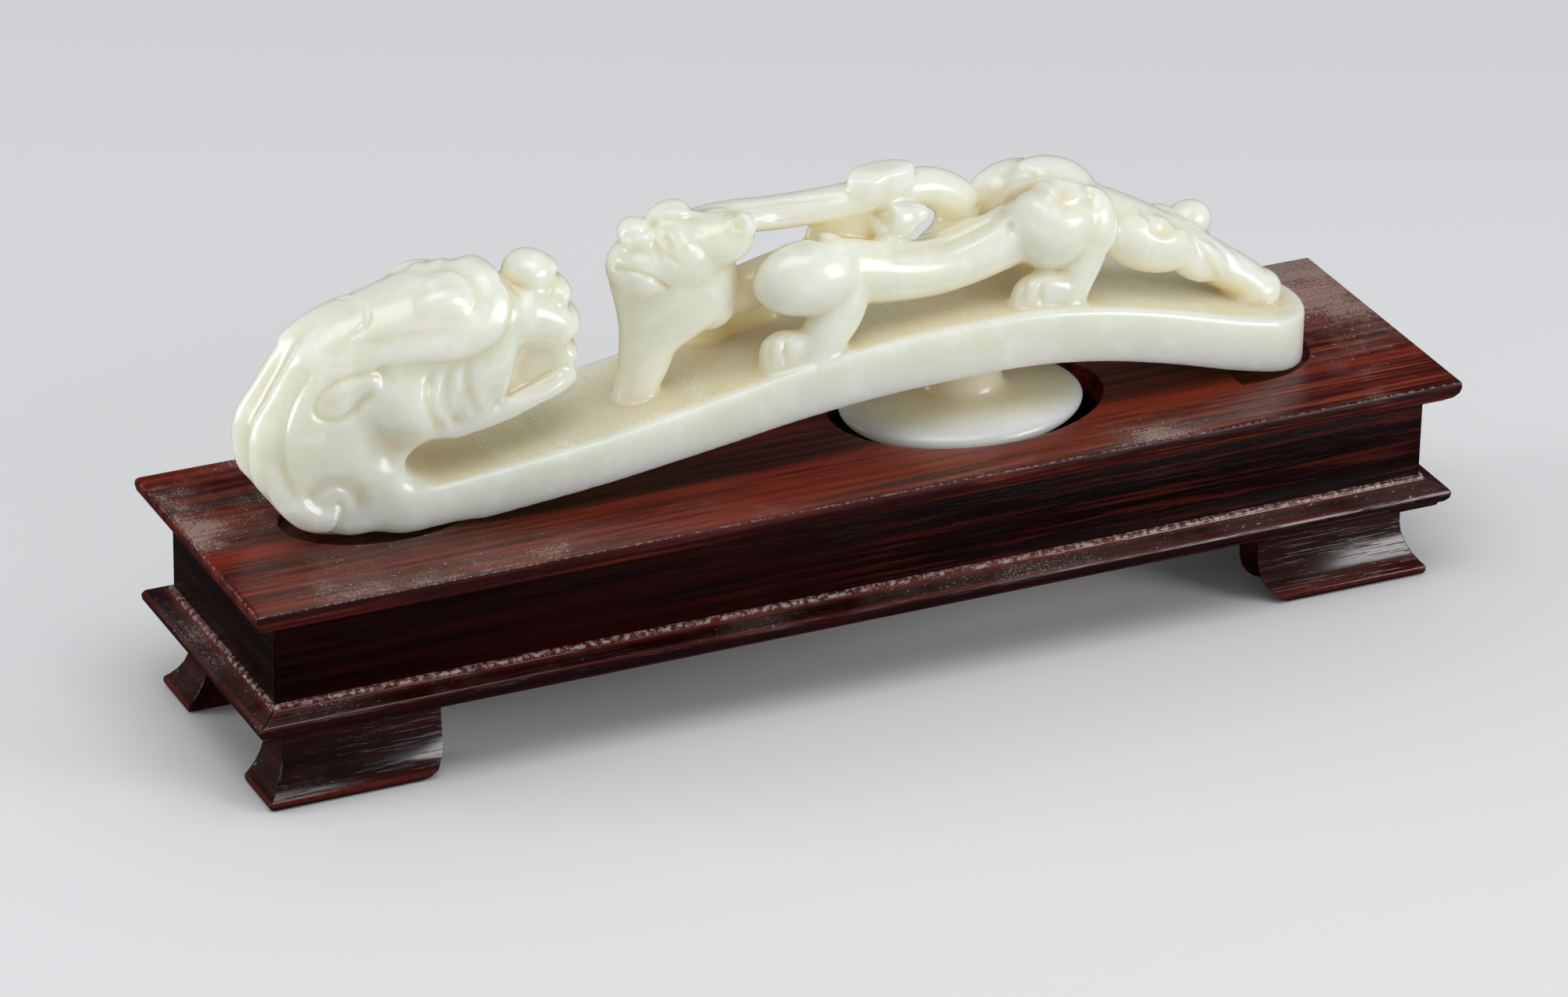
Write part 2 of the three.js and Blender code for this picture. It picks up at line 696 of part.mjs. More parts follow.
// A foot's two pieces meet in a mitre at the corner: one starts each side, one ends it
function footPiece(halfLength, halfDepth, isLong, mirror) {
  const length = isLong ? longFootLength : shortFootLength;
  const radius = isLong ? longFootEndRadius : shortFootEndRadius;
  const geometry = mouldingGeometry(footSection(), halfLength, halfDepth,
    footEnd(halfLength, length, radius));
  if (!mirror) return geometry;
  const position = geometry.getAttribute('position');
  for (let i = 0; i < position.count; i += 1) position.setX(i, -position.getX(i));
  const index = geometry.getIndex();
  for (let i = 0; i < index.count; i += 3) {
    const second = index.getX(i + 1);
    index.setX(i + 1, index.getX(i + 2));
    index.setX(i + 2, second);
  }
  geometry.computeVertexNormals();
  return geometry;
}

const corners = {
  front: ['front_left', 'front_right'],
  right: ['front_right', 'back_right'],
  back: ['back_right', 'back_left'],
  left: ['back_left', 'front_left'],
};

function feetGroup() {
  const group = new THREE.Group();
  for (const [side, quarters, halfLength, halfDepth] of sides) {
    const isLong = quarters % 2 === 0;
    corners[side].forEach((corner, end) => {
      const name = `${corner}_foot_${isLong ? 'long' : 'short'}`;
      const geometry = footPiece(halfLength, halfDepth, isLong, end === 1);
      group.add(named(name, geometry, hardwood(footColor), quarters * Math.PI / 2));
    });
  }
  return group;
}

const beltHookOnStand = new THREE.Group();
beltHookOnStand.add(standGroup());
beltHookOnStand.add(feetGroup());
beltHookOnStand.add(named('belt_hook', hookGeometry(), jade()));

export default beltHookOnStand;
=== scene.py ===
"""A belt hook carved from pale jade, lying on its fitted hardwood stand.

The hook is one stone: a plate bent in a low arch, a dragon's head on a neck that turns
over at one end, an oval button underneath, and a young dragon in openwork on top. It is
built as a carver works: rough forms are set out, fused into one blank, softened where
they meet, and then the lines are cut into it. The stand's boards and mouldings are fine
copies of the solid ones, with eased edges.

Lengths are millimetres until they reach Blender, which gets metres.
"""

import logging
import math
from collections.abc import Callable, Iterator
from contextlib import contextmanager
from dataclasses import dataclass, field, replace
from enum import Enum
from typing import NamedTuple

import bpy
import numpy as np
from mathutils import Matrix, Vector
from mathutils.bvhtree import BVHTree
from mathutils.kdtree import KDTree

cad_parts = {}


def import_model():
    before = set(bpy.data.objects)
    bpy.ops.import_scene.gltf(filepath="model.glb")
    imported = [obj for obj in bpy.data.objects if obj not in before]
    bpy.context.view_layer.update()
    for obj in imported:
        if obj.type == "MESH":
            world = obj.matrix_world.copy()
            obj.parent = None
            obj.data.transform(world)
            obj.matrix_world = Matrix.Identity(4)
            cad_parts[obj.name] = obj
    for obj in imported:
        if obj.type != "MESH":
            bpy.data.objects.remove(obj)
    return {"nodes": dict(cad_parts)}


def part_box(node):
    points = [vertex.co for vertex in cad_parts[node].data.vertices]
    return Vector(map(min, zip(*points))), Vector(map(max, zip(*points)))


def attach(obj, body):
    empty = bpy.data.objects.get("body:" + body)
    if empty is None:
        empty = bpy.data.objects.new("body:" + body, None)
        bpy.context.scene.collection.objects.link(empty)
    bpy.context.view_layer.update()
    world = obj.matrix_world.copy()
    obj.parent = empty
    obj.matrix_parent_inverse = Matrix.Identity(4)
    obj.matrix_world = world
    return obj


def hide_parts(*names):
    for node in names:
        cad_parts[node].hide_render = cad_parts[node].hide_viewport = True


MM = 0.001
HALF_LENGTH, HALF_DEPTH = 0.07, 0.0174  # of the stand, in metres
LOG = logging.getLogger("belt_hook")
Object = bpy.types.Object
Pair = tuple[float, float]
Point = tuple[float, float, float]
Pixel = tuple[float, float]
Tint = tuple[int, int, int]


class Body(Enum):
    """The bodies that pieces ride on."""

    STAND = "stand"
    HOOK = "hook"


class Cut(Enum):
    """How a line is cut into the stone."""

    GROOVE = "groove"
    RIDGE = "ridge"
    STEP_LEFT = "step_left"
    STEP_RIGHT = "step_right"


# Small helpers for Blender's operators


def deselect() -> None:
    """Leaves nothing selected, so that an operator acts on one piece alone."""
    for item in bpy.context.selected_objects:
        item.select_set(False)


def choose(item: Object) -> None:
    """Selects one object and makes it active.

    Args:
        item: The object that the next operators work on.
    """
    deselect()
    item.select_set(True)
    bpy.context.view_layer.objects.active = item


@contextmanager
def editing(item: Object) -> Iterator[None]:
    """Keeps an object in edit mode, at first with its whole mesh selected.

    Args:
        item: The object that is shaped.

    Yields:
        Nothing.
    """
    choose(item)
    bpy.ops.object.mode_set(mode="EDIT")
    bpy.ops.mesh.select_all(action="SELECT")
    yield
    bpy.ops.object.mode_set(mode="OBJECT")


def apply_all(item: Object) -> None:
    """Applies every modifier of an object, in order.

    Args:
        item: The object.
    """
    choose(item)
    for modifier in list(item.modifiers):
        bpy.ops.object.modifier_apply(modifier=modifier.name)


def settle(item: Object, name: str) -> Object:
    """Names a new object and puts its place, turn and scale into its mesh.

    Args:
        item: The object that was just added.
        name: Its name.

    Returns:
        The same object, at the origin.
    """
    item.name = name
    choose(item)
    bpy.ops.object.transform_apply(location=True, rotation=True, scale=True)
    return item


def draw_out(middles: list[Vector], sizes: np.ndarray, unit: Point) -> None:
    """Draws the flat section in edit mode out from place to place, resized at each.

    Args:
        middles: The section's middle at each place, in metres; it is at the first now.
        sizes: The section's half sides there, in millimetres, and 1 along its normal.
        unit: What a size of 1 is in metres on each axis, and 1 along the normal.
    """
    bpy.ops.transform.resize(value=tuple(sizes[0] * unit), center_override=middles[0])
    for i in range(1, len(middles)):
        bpy.ops.mesh.extrude_region_move(
            TRANSFORM_OT_translate={"value": middles[i] - middles[i - 1]})
        bpy.ops.transform.resize(value=tuple(sizes[i] / sizes[i - 1]),
                                 center_override=middles[i])
    bpy.ops.mesh.select_all(action="SELECT")
    bpy.ops.mesh.normals_make_consistent(inside=False)


def read_places(mesh: bpy.types.Mesh) -> np.ndarray:
    """The places of a mesh's vertices, in millimetres, one a row."""
    places = np.empty(len(mesh.vertices) * 3)
    mesh.vertices.foreach_get("co", places)
    return places.reshape(-1, 3) / MM


# Curves and soft ramps


def smooth_rows(rows: np.ndarray, steps: int) -> np.ndarray:
    """Reads rows of numbers as one smooth curve through them.

    Args:
        rows: One row a station.
        steps: How many rows come back.

    Returns:
        The rows of the curve, the first and last as given.
    """
    rows = np.asarray(rows, dtype=float)
    padded = np.vstack([2 * rows[0] - rows[1], rows, 2 * rows[-1] - rows[-2]])
    lengths = np.linalg.norm(np.diff(rows[:, :3], axis=0), axis=1)
    along = np.concatenate([[0.0], np.cumsum(lengths)])
    out = []
    for share in np.linspace(0.0, along[-1], steps):
        i = min(int(np.searchsorted(along, share, side="right")) - 1, len(rows) - 2)
        t = (share - along[i]) / (along[i + 1] - along[i])
        a, b, c, d = padded[i : i + 4]
        out.append(0.5 * (2 * b + (c - a) * t + (2 * a - 5 * b + 4 * c - d) * t**2
                          + (3 * b - a - 3 * c + d) * t**3))
    return np.array(out)


def rise(low: float, high: float, value: np.ndarray) -> np.ndarray:
    """A soft ramp from 0 at low to 1 at high."""
    t = np.clip((value - low) / (high - low), 0.0, 1.0)
    return t * t * (3 - 2 * t)


def fall(low: float, high: float, value: np.ndarray) -> np.ndarray:
    """A soft ramp from 1 at low to 0 at high."""
    return 1 - rise(low, high, value)


def read_shares(table: tuple[Pair, ...], along: float) -> float:
    """Reads a table of shares as a smooth curve that never overshoots its rows.

    Args:
        table: Rows of a share along and its value.
        along: The share along.

    Returns:
        The value there.
    """
    row = 0
    while row < len(table) - 2 and along > table[row + 1][0]:
        row += 1
    (x0, y0), (x1, y1) = table[row], table[row + 1]
    before, after = table[max(row - 1, 0)], table[min(row + 2, len(table) - 1)]
    slope0, slope1 = (y1 - before[1]) / (x1 - before[0]), (after[1] - y0) / (after[0] - x0)
    t = min(max((along - x0) / (x1 - x0), 0.0), 1.0)
    lean = t * (1 - t) ** 2 * slope0 - t * t * (1 - t) * slope1
    return y0 + (y1 - y0) * t * t * (3 - 2 * t) + lean * (x1 - x0)


class Nearest(NamedTuple):
    """Where each of many points is nearest to a broken line.

    Attributes:
        stretch: The line's stretch, counted from 0.
        share: How far along that stretch, from 0 to 1.
        place: The place on the line.
        gap: How far off the point is.
        end: How far along the line its nearer end is.
    """

    stretch: np.ndarray
    share: np.ndarray
    place: np.ndarray
    gap: np.ndarray
    end: np.ndarray


def nearest_on(path: np.ndarray, points: np.ndarray) -> Nearest:
    """Finds the nearest places on a broken line.

    Args:
        path: The line's corners, one a row.
        points: The points, one a row.

    Returns:
        The nearest places.
    """
    starts, run = path[:-1], path[1:] - path[:-1]
    length = np.maximum(np.linalg.norm(run, axis=1), 1e-9)
    along = np.concatenate([[0.0], np.cumsum(length)])
    share = np.einsum("psk,sk->ps", points[:, None] - starts[None], run) / length**2
    share = np.clip(share, 0.0, 1.0)
    foot = starts[None] + share[..., None] * run[None]
    gap = np.linalg.norm(points[:, None] - foot, axis=2)
    best = gap.argmin(axis=1)
    pick = np.arange(len(points))
    travelled = along[best] + share[pick, best] * length[best]
    return Nearest(best, share[pick, best], foot[pick, best], gap[pick, best],
                   np.minimum(travelled, along[-1] - travelled))


def gather(ends: np.ndarray, values: np.ndarray) -> np.ndarray:
    """Adds up the neighbours' values at each vertex.

    Args:
        ends: The two vertices of each edge.
        values: One row a vertex.

    Returns:
        One row of sums a vertex.
    """
    a, b = ends[:, 0], ends[:, 1]
    return np.stack([np.bincount(a, column[b], len(values)) + np.bincount(
        b, column[a], len(values)) for column in values.T], axis=1)


@dataclass(frozen=True)
class PhotoView:
    """The camera that took the photograph, fitted to the stand's corners.

    Lengths are millimetres and angles degrees. The photograph is width by height pixels.
    """

    width: float = 2000.0
    height: float = 1272.0
    target: Point = (-2.8, 0.0, 16.3)
    distance: float = 827.4
    azimuth: float = -25.63
    elevation: float = 26.7
    roll: float = 1.08
    focal_px: float = 9887.0
    sensor: float = 36.0
    clip: Pair = (50.0, 10000.0)

    def axes(self) -> tuple[Vector, Vector, Vector]:
        """Works out the camera's own directions.

        Returns:
            Its right, up and backward directions.
        """
        a, e, r = (math.radians(v) for v in (self.azimuth, self.elevation, self.roll))
        back = Vector((math.sin(a) * math.cos(e), -math.cos(a) * math.cos(e), math.sin(e)))
        right = Vector((0, 0, 1)).cross(back).normalized()
        up = back.cross(right)
        c, s = math.cos(r), math.sin(r)
        return right * c + up * s, up * c - right * s, back

    def place(self) -> Vector:
        """Where the camera stands, in millimetres."""
        return Vector(self.target) + self.axes()[2] * self.distance

    def ray(self, x: float, y: float) -> Vector:
        """The direction of the line of sight through a pixel of the photograph.

        Args:
            x: Pixels from the photograph's left edge.
            y: Pixels from its top edge.

        Returns:
            A unit vector.
        """
        right, up, back = self.axes()
        across = (x - self.width / 2) / self.focal_px
        height = (self.height / 2 - y) / self.focal_px
        return (right * across + up * height - back).normalized()

    def build(self) -> None:
        """Adds the camera and makes it the scene's."""
        deselect()
        bpy.ops.object.camera_add(location=self.place() * MM)
        camera = bpy.context.object
        camera.name = "photo_camera"
        turn = Matrix(self.axes()).transposed().to_4x4()
        camera.matrix_world = Matrix.Translation(self.place() * MM) @ turn
        camera.data.sensor_width = self.sensor
        camera.data.lens = self.focal_px * self.sensor / self.width
        camera.data.clip_start, camera.data.clip_end = self.clip[0] * MM, self.clip[1] * MM
        bpy.context.scene.camera = camera


# The rough forms of the stone. Heights are above the stand's top.


@dataclass(frozen=True)
class Form:
    """A rough form. A paired one has a twin on the other side of the stone."""

    paired: bool = field(default=False, kw_only=True)

    def build(self, lift: float) -> list[Object]:
        """Adds the form, and its twin where it has one.

        Args:
            lift: The height of the stand's top.

        Returns:
            The new objects.
        """
        return [self.shape(lift, side) for side in ((1, -1) if self.paired else (1,))]

    def shape(self, lift: float, side: int) -> Object:
        """Adds one object; each kind of form says how."""
        raise NotImplementedError


@dataclass(frozen=True)
class Lump(Form):
    """A rounded mass: its centre, its three radii, and its turn about Y in degrees."""

    centre: Point
    radii: Point
    turn: float = 0.0
    segments: int = 32

    def shape(self, lift: float, side: int) -> Object:
        """Adds the mass.

        Args:
            lift: The height of the stand's top.
            side: 1, or -1 for the twin.

        Returns:
            The new object.
        """
        x, y, z = self.centre
        bpy.ops.mesh.primitive_uv_sphere_add(
            segments=self.segments, ring_count=self.segments // 2, radius=1.0,
            location=Vector((x, y * side, z + lift)) * MM,
            rotation=(0, math.radians(self.turn), 0), scale=Vector(self.radii) * MM)
        return settle(bpy.context.object, "lump")


@dataclass(frozen=True)
class Disc(Form):
    """A short upright cylinder with eased rims: centre, radii in X and Y, half height."""

    centre: Point
    radii: Pair
    half: float
    ease: float = 0.35
    sides: int = 40

    def shape(self, lift: float, side: int) -> Object:
        """Adds the disc.

        Args:
            lift: The height of the stand's top.
            side: 1, or -1 for the twin.

        Returns:
            The new object.
        """
        x, y, z = self.centre
        bpy.ops.mesh.primitive_cylinder_add(
            vertices=self.sides, radius=1.0, depth=2.0,
            location=Vector((x, y * side, z + lift)) * MM,
            scale=Vector((*self.radii, self.half)) * MM)
        disc = settle(bpy.context.object, "disc")
        bevel = disc.modifiers.new("eased rim", "BEVEL")
        bevel.width = self.ease * MM
        bevel.segments = 3
        apply_all(disc)
        return disc


@dataclass(frozen=True)
class Limb(Form):
    """A tube through places. Each row is x, y, z, half the width and half the height."""

    rows: tuple[tuple[float, float, float, float, float], ...]
    steps: int = 40
    roundness: int = 6
    weld: float = 0.01

    def shape(self, lift: float, side: int) -> Object:
        """Sweeps a round section along the rows, then widens it row by row.

        Args:
            lift: The height of the stand's top.
            side: 1, or -1 for the twin.

        Returns:
            The new object.
        """
        line = smooth_rows(self.rows, self.steps) * (1, side, 1, 1, 1) + (0, 0, lift, 0, 0)
        curve = bpy.data.curves.new("limb", "CURVE")
        curve.dimensions = "3D"
        curve.bevel_depth = MM
        curve.bevel_resolution = self.roundness
        curve.use_fill_caps = True
        curve.twist_mode = "Z_UP"
        spline = curve.splines.new("POLY")
        spline.points.add(self.steps - 1)
        for point, (x, y, z, _, half_height) in zip(spline.points, line):
            point.co = (x * MM, y * MM, z * MM, 1.0)
            point.radius = half_height
        limb = bpy.data.objects.new("limb", curve)
        bpy.context.collection.objects.link(limb)
        choose(limb)
        bpy.ops.object.convert(target="MESH")
        limb = bpy.context.object
        for vertex in limb.data.vertices:
            row = line[np.linalg.norm(line[:, :3] * MM - vertex.co, axis=1).argmin()]
            vertex.co.y = (vertex.co.y - row[1] * MM) * row[3] / row[4] + row[1] * MM
        with editing(limb):
            bpy.ops.mesh.remove_doubles(threshold=self.weld * MM)
            bpy.ops.mesh.normals_make_consistent(inside=False)
        return limb


@dataclass(frozen=True)
class Loft(Form):
    """Upright sections along X. Each row is x, the underside, the top and the half width.

    Attributes:
        rows: The stations, read as a smooth curve.
        corner: The share of the half side that rounds the section.
        steps: How many sections there are; 0 is one for each row, as it stands.
        segments: How many faces round a corner.
        beside: How far the form stands from the middle.
    """

    rows: tuple[tuple[float, float, float, float], ...]
    corner: float
    steps: int = 40
    segments: int = 8
    beside: float = 0.0

    def shape(self, lift: float, side: int) -> Object:
        """Draws a rounded section out along X.

        Args:
            lift: The height of the stand's top.
            side: 1, or -1 for the twin.

        Returns:
            The new object.
        """
        table = smooth_rows(self.rows, self.steps) if self.steps else np.array(self.rows)
        middles = [Vector((x, side * self.beside, lift + (low + high) / 2)) * MM
                   for x, low, high, _ in table]
        sizes = np.array([(1, half, (high - low) / 2) for _, low, high, half in table])
        bpy.ops.mesh.primitive_plane_add(size=2.0, location=middles[0],
                                         rotation=(0, math.pi / 2, 0))
        loft = bpy.context.object
        with editing(loft):
            bpy.ops.mesh.bevel(offset=self.corner, segments=self.segments, affect="VERTICES")
            draw_out(middles, sizes, (1, MM, MM))
        return settle(loft, "loft")


@dataclass(frozen=True)
class Turning(Form):
    """Level oval sections one above another. Each row is x, y, z and the two half axes.

    Attributes:
        rows: The stations.
        sides: How many sides an oval has.
        smooth: How many sections a smooth curve has; 0 is one for each row, as it stands.
    """

    rows: tuple[tuple[float, float, float, float, float], ...]
    sides: int = 48
    smooth: int = 0

    def shape(self, lift: float, side: int) -> Object:
        """Draws an oval out from row to row.

        Args:
            lift: The height of the stand's top.
            side: 1, or -1 for the twin.

        Returns:
            The new object.
        """
        table = smooth_rows(self.rows, self.smooth) if self.smooth else np.array(self.rows)
        middles = [Vector((x, y * side, z + lift)) * MM for x, y, z, _, _ in table]
        sizes = np.array([(half_x, half_y, 1) for *_, half_x, half_y in table])
        bpy.ops.mesh.primitive_circle_add(vertices=self.sides, radius=1.0, fill_type="NGON",
                                          location=middles[0])
        form = bpy.context.object
        with editing(form):
            draw_out(middles, sizes, (MM, MM, 1))
        return settle(form, "turning")


@dataclass(frozen=True)
class Line:
    """A line cut into the stone, set out by pixels of the photograph.

    Attributes:
        points: Pixels along the line.
        cut: What the line does to the surface.
        depth: How deep it goes, in millimetres.
        width: Half the width of a groove or ridge, or of a step's slope.
        fade: How far a step's low side takes to come up again.
        paired: The same line is cut on the far side too.
        tint: How much warm dust lies in it, from 0 to 1.
        taper: The length over which each end runs out.
        closed: The line is a ring, and no end runs out.
    """

    points: tuple[Pixel, ...]
    cut: Cut = Cut.GROOVE
    depth: float = 0.35
    width: float = 0.55
    fade: float = 3.0
    paired: bool = False
    tint: float = 0.6
    taper: float = 1.5
    closed: bool = False


@dataclass(frozen=True)
class Dent:
    """A round hollow, or a boss where its depth is negative, at a pixel of the photograph.

    Attributes:
        at: The pixel.
        radius: Its radius, in millimetres.
        depth: How deep it goes.
        paired: The same hollow is cut on the far side too.
        tint: How much warm dust lies in it, from 0 to 1.
        flat: The share of the radius over which its bottom is flat.
    """

    at: Pixel
    radius: float
    depth: float
    paired: bool = False
    tint: float = 0.6
    flat: float = 0.0


class Stone:
    """The fused blank, held as arrays while it is carved. Lengths are millimetres.

    Attributes:
        LEAP: A line is broken where it jumps further than this between two pixels.
        HOLLOW: How hollow a place is when it is softened as a hollow in full.
        FACING: A cut fades out between these, as the surface turns away from its line.
        HOLLOW_SIZES: For each size of hollow, the passes and the gain that find it.
        LOWEST: How low the tried directions go, as a share of the way to the surface.
        RAY: How far off the surface a ray starts, and how far it looks.
        SHADE_BLUR: How many passes spread the tried vertices' shade over the others.
        LINE_STEPS: The fewest places on a line, and how many for each of its pixels.
    """

    LEAP = 2.5
    HOLLOW = 0.006
    FACING = (0.05, 0.5)
    HOLLOW_SIZES = ((4, 9.0), (24, 3.2))
    LOWEST = 0.85
    RAY = (0.15, 9.0)
    SHADE_BLUR = 70
    LINE_STEPS = (8, 5)

    def __init__(self, item: Object) -> None:
        """Reads the mesh.

        Args:
            item: The fused blank.
        """
        mesh = item.data
        self.item = item
        self.places = read_places(mesh)
        edges = np.empty(len(mesh.edges) * 2, dtype=np.int64)
        mesh.edges.foreach_get("vertices", edges)
        self.edges = edges.reshape(-1, 2)
        self.faces = [tuple(p.vertices) for p in mesh.polygons]
        quads = [f if len(f) == 4 else (*f, f[-1]) for f in self.faces]
        self.quads = np.array(quads, dtype=np.int64)
        count = len(self.places)
        self.valence = np.bincount(self.edges.ravel(), minlength=count).astype(float)
        self.tint = np.zeros(count)

    def spread(self, values: np.ndarray) -> np.ndarray:
        """The mean of each vertex's neighbours.

        Args:
            values: One row or one number a vertex.

        Returns:
            The means, in the same form.
        """
        sums = gather(self.edges, values.reshape(len(values), -1))
        return (sums / self.valence[:, None]).reshape(values.shape)

    def normals(self) -> np.ndarray:
        """Works out the vertices' normals from their faces' diagonals.

        Returns:
            One unit normal a row.
        """
        p = self.places[self.quads]
        face = np.cross(p[:, 2] - p[:, 0], p[:, 3] - p[:, 1])
        out = np.zeros_like(self.places)
        for corner in self.quads.T:
            for k in range(3):
                out[:, k] += np.bincount(corner, face[:, k], len(out))
        length = np.linalg.norm(out, axis=1)
        return out / np.maximum(length, 1e-12)[:, None]

    def relax(self, times: int, convex: float, concave: float) -> None:
        """Softens the surface, hollows and edges by different amounts.

        Args:
            times: How many passes.
            convex: The share moved where the surface stands proud.
            concave: The share moved where it is hollow.
        """
        for _ in range(times):
            delta = self.spread(self.places) - self.places
            lean = self.spread(np.einsum("ij,ij->i", delta, self.normals()))
            share = convex + (concave - convex) * rise(0.0, self.HOLLOW, lean)
            self.places = self.places + delta * share[:, None]

    def melt(self, share: np.ndarray, times: int) -> None:
        """Softens one part of the surface strongly and leaves the rest as it is.

        Args:
            share: The share moved at each vertex, 0 for those that stay.
            times: How many passes.
        """
        inside = share > 0.01
        pick = np.flatnonzero(inside)
        slot = np.full(len(share), -1)
        slot[pick] = np.arange(len(pick))
        ends = slot[self.edges[inside[self.edges].all(axis=1)]]
        count = np.maximum(np.bincount(ends.ravel(), minlength=len(pick)), 1)
        places, amount = self.places[pick], share[pick]
        for _ in range(times):
            mean = gather(ends, places) / count[:, None]
            places = places + (mean - places) * amount[:, None]
        self.places[pick] = places

    def tree(self) -> BVHTree:
        """A search tree of the surface as it is now."""
        return BVHTree.FromPolygons(self.places.tolist(), self.faces)

    def near(self, path: np.ndarray, reach: float) -> np.ndarray:
        """The vertices in a path's box, let out by a reach on every side."""
        low, high = path.min(0) - reach, path.max(0) + reach
        return np.flatnonzero(np.all((self.places > low) & (self.places < high), axis=1))

    def trace(self, view: PhotoView, pixels: np.ndarray, tree: BVHTree,
              paired: bool) -> list[tuple[np.ndarray, np.ndarray, bool]]:
        """Lays pixels of the photograph onto the surface, in unbroken runs.

        Args:
            view: The photograph's camera.
            pixels: One pixel a row, in order.
            tree: The surface.
            paired: Also lay the line's twin on the far side.

        Returns:
            For each run, its places, the surface's normals there, and if it is a twin.
        """
        start = view.place()
        runs, last = [[]], None
        for x, y in pixels:
            hit, normal, _, _ = tree.ray_cast(start, view.ray(x, y))
            if hit is None or last is not None and (hit - last).length > self.LEAP:
                runs.append([])
            if hit is not None:
                runs[-1].append((tuple(hit), tuple(normal)))
            last = hit
        sides = []
        for run in runs:
            if len(run) < 2:
                continue
            spots, ups = (np.array(part) for part in zip(*run))
            sides.append((spots, ups, False))
            if paired:
                found = [tree.find_nearest(Vector((x, -y, z))) for x, y, z in spots]
                sides.append((np.array([tuple(f[0]) for f in found]),
                              np.array([tuple(f[1]) for f in found]), True))
        return sides

    def cut_along(self, line: Line, spots: np.ndarray, ups: np.ndarray, twin: bool,
                  normals: np.ndarray) -> None:
        """Moves the vertices near a line as its cut says.

        Args:
            line: The line's sizes.
            spots: Its places on the surface.
            ups: The surface's normals there.
            twin: The line is the far twin, whose left is the near one's right.
            normals: The vertices' normals.
        """
        step = line.cut in (Cut.STEP_LEFT, Cut.STEP_RIGHT)
        near = self.near(spots, line.fade if step else line.width)
        if not len(near):
            return
        points = self.places[near]
        foot = nearest_on(spots, points)
        up = ups[foot.stretch]
        taper = 1.0 if line.closed else rise(0.0, max(line.taper, 1e-6), foot.end)
        if step:
            run = np.diff(spots, axis=0)
            side = np.einsum("ij,ij->i", np.cross(up, run[foot.stretch]), points - foot.place)
            side = np.sign(side) * foot.gap
            if (line.cut is Cut.STEP_LEFT) == twin:
                side = -side
            shape = rise(-line.width / 2, line.width / 2, side)
            shape = shape * fall(line.width, line.fade, side)
            beyond = ((foot.share <= 0) & (foot.stretch == 0)
                      | (foot.share >= 1) & (foot.stretch == len(run) - 1))
            shape = shape * np.where(beyond, fall(0.0, line.fade / 2, foot.gap), 1.0)
            dusty = np.exp(-((side - line.width / 2) / (line.width * 0.8)) ** 2)
        else:
            shape = fall(0.0, line.width, foot.gap)
            dusty = fall(0.0, line.width * 1.2, foot.gap)
        sign = 1.0 if line.cut is Cut.RIDGE else -1.0
        facing = rise(*self.FACING, np.einsum("ij,ij->i", normals[near], up))
        weight = shape * taper * facing
        self.places[near] += normals[near] * (sign * line.depth * weight)[:, None]
        self.tint[near] = np.maximum(self.tint[near], dusty * taper * line.tint * facing)

    def press(self, dent: Dent, spot: np.ndarray, up: np.ndarray,
              normals: np.ndarray) -> None:
        """Moves the vertices round one place in or out.

        Args:
            dent: The dent's sizes.
            spot: Its place on the surface.
            up: The surface's normal there.
            normals: The vertices' normals.
        """
        gap = np.linalg.norm(self.places - spot, axis=1)
        shape = fall(dent.radius * dent.flat, dent.radius, gap)
        shape *= rise(*self.FACING, normals @ up)
        self.places -= up * (dent.depth * shape)[:, None]
        self.tint = np.maximum(self.tint, shape * dent.tint)

    def carve(self, view: PhotoView, lines: list[Line], dents: list[Dent]) -> None:
        """Cuts all dents, and then all lines.

        Args:
            view: The photograph's camera.
            lines: The lines, cut in order.
            dents: The round hollows and bosses.
        """
        tree = self.tree()
        for dent in dents:
            pixels = np.array([dent.at, np.add(dent.at, 0.5)])
            traced = self.trace(view, pixels, tree, dent.paired)
            normals = self.normals()
            for spots, ups, _ in traced:
                self.press(dent, spots[0], ups[0], normals)
        tree = self.tree()
        fewest, each = self.LINE_STEPS
        for line in lines:
            rows = np.array([(x, y, 0.0) for x, y in line.points])
            pixels = smooth_rows(rows, max(fewest, each * len(line.points)))[:, :2]
            normals = self.normals()
            for spots, ups, twin in self.trace(view, pixels, tree, line.paired):
                self.cut_along(line, spots, ups, twin, normals)

    def sweep_out(self, path: np.ndarray, depth: float, width: float) -> None:
        """Cuts a broad groove along places given in millimetres.

        Args:
            path: The places, close to the surface.
            depth: How deep it goes.
            width: Half its width.
        """
        near = self.near(path, width)
        foot = nearest_on(path, self.places[near])
        shape = fall(0.0, width, foot.gap) * rise(0.0, width * 4, foot.end)
        self.places[near] -= self.normals()[near] * (depth * shape)[:, None]

    def hollows(self) -> np.ndarray:
        """Reads how far each vertex lies in a hollow or in a dusty line.

        Returns:
            A share from 0 to 1 for each vertex.
        """
        out = np.zeros(len(self.places))
        normals = self.normals()
        for passes, gain in self.HOLLOW_SIZES:
            soft = self.places
            for _ in range(passes):
                soft = self.spread(soft)
            depth = np.einsum("ij,ij->i", soft - self.places, normals)
            out = np.maximum(out, np.clip(depth * gain, 0.0, 1.0))
        return np.maximum(self.spread(self.spread(out)), self.tint)

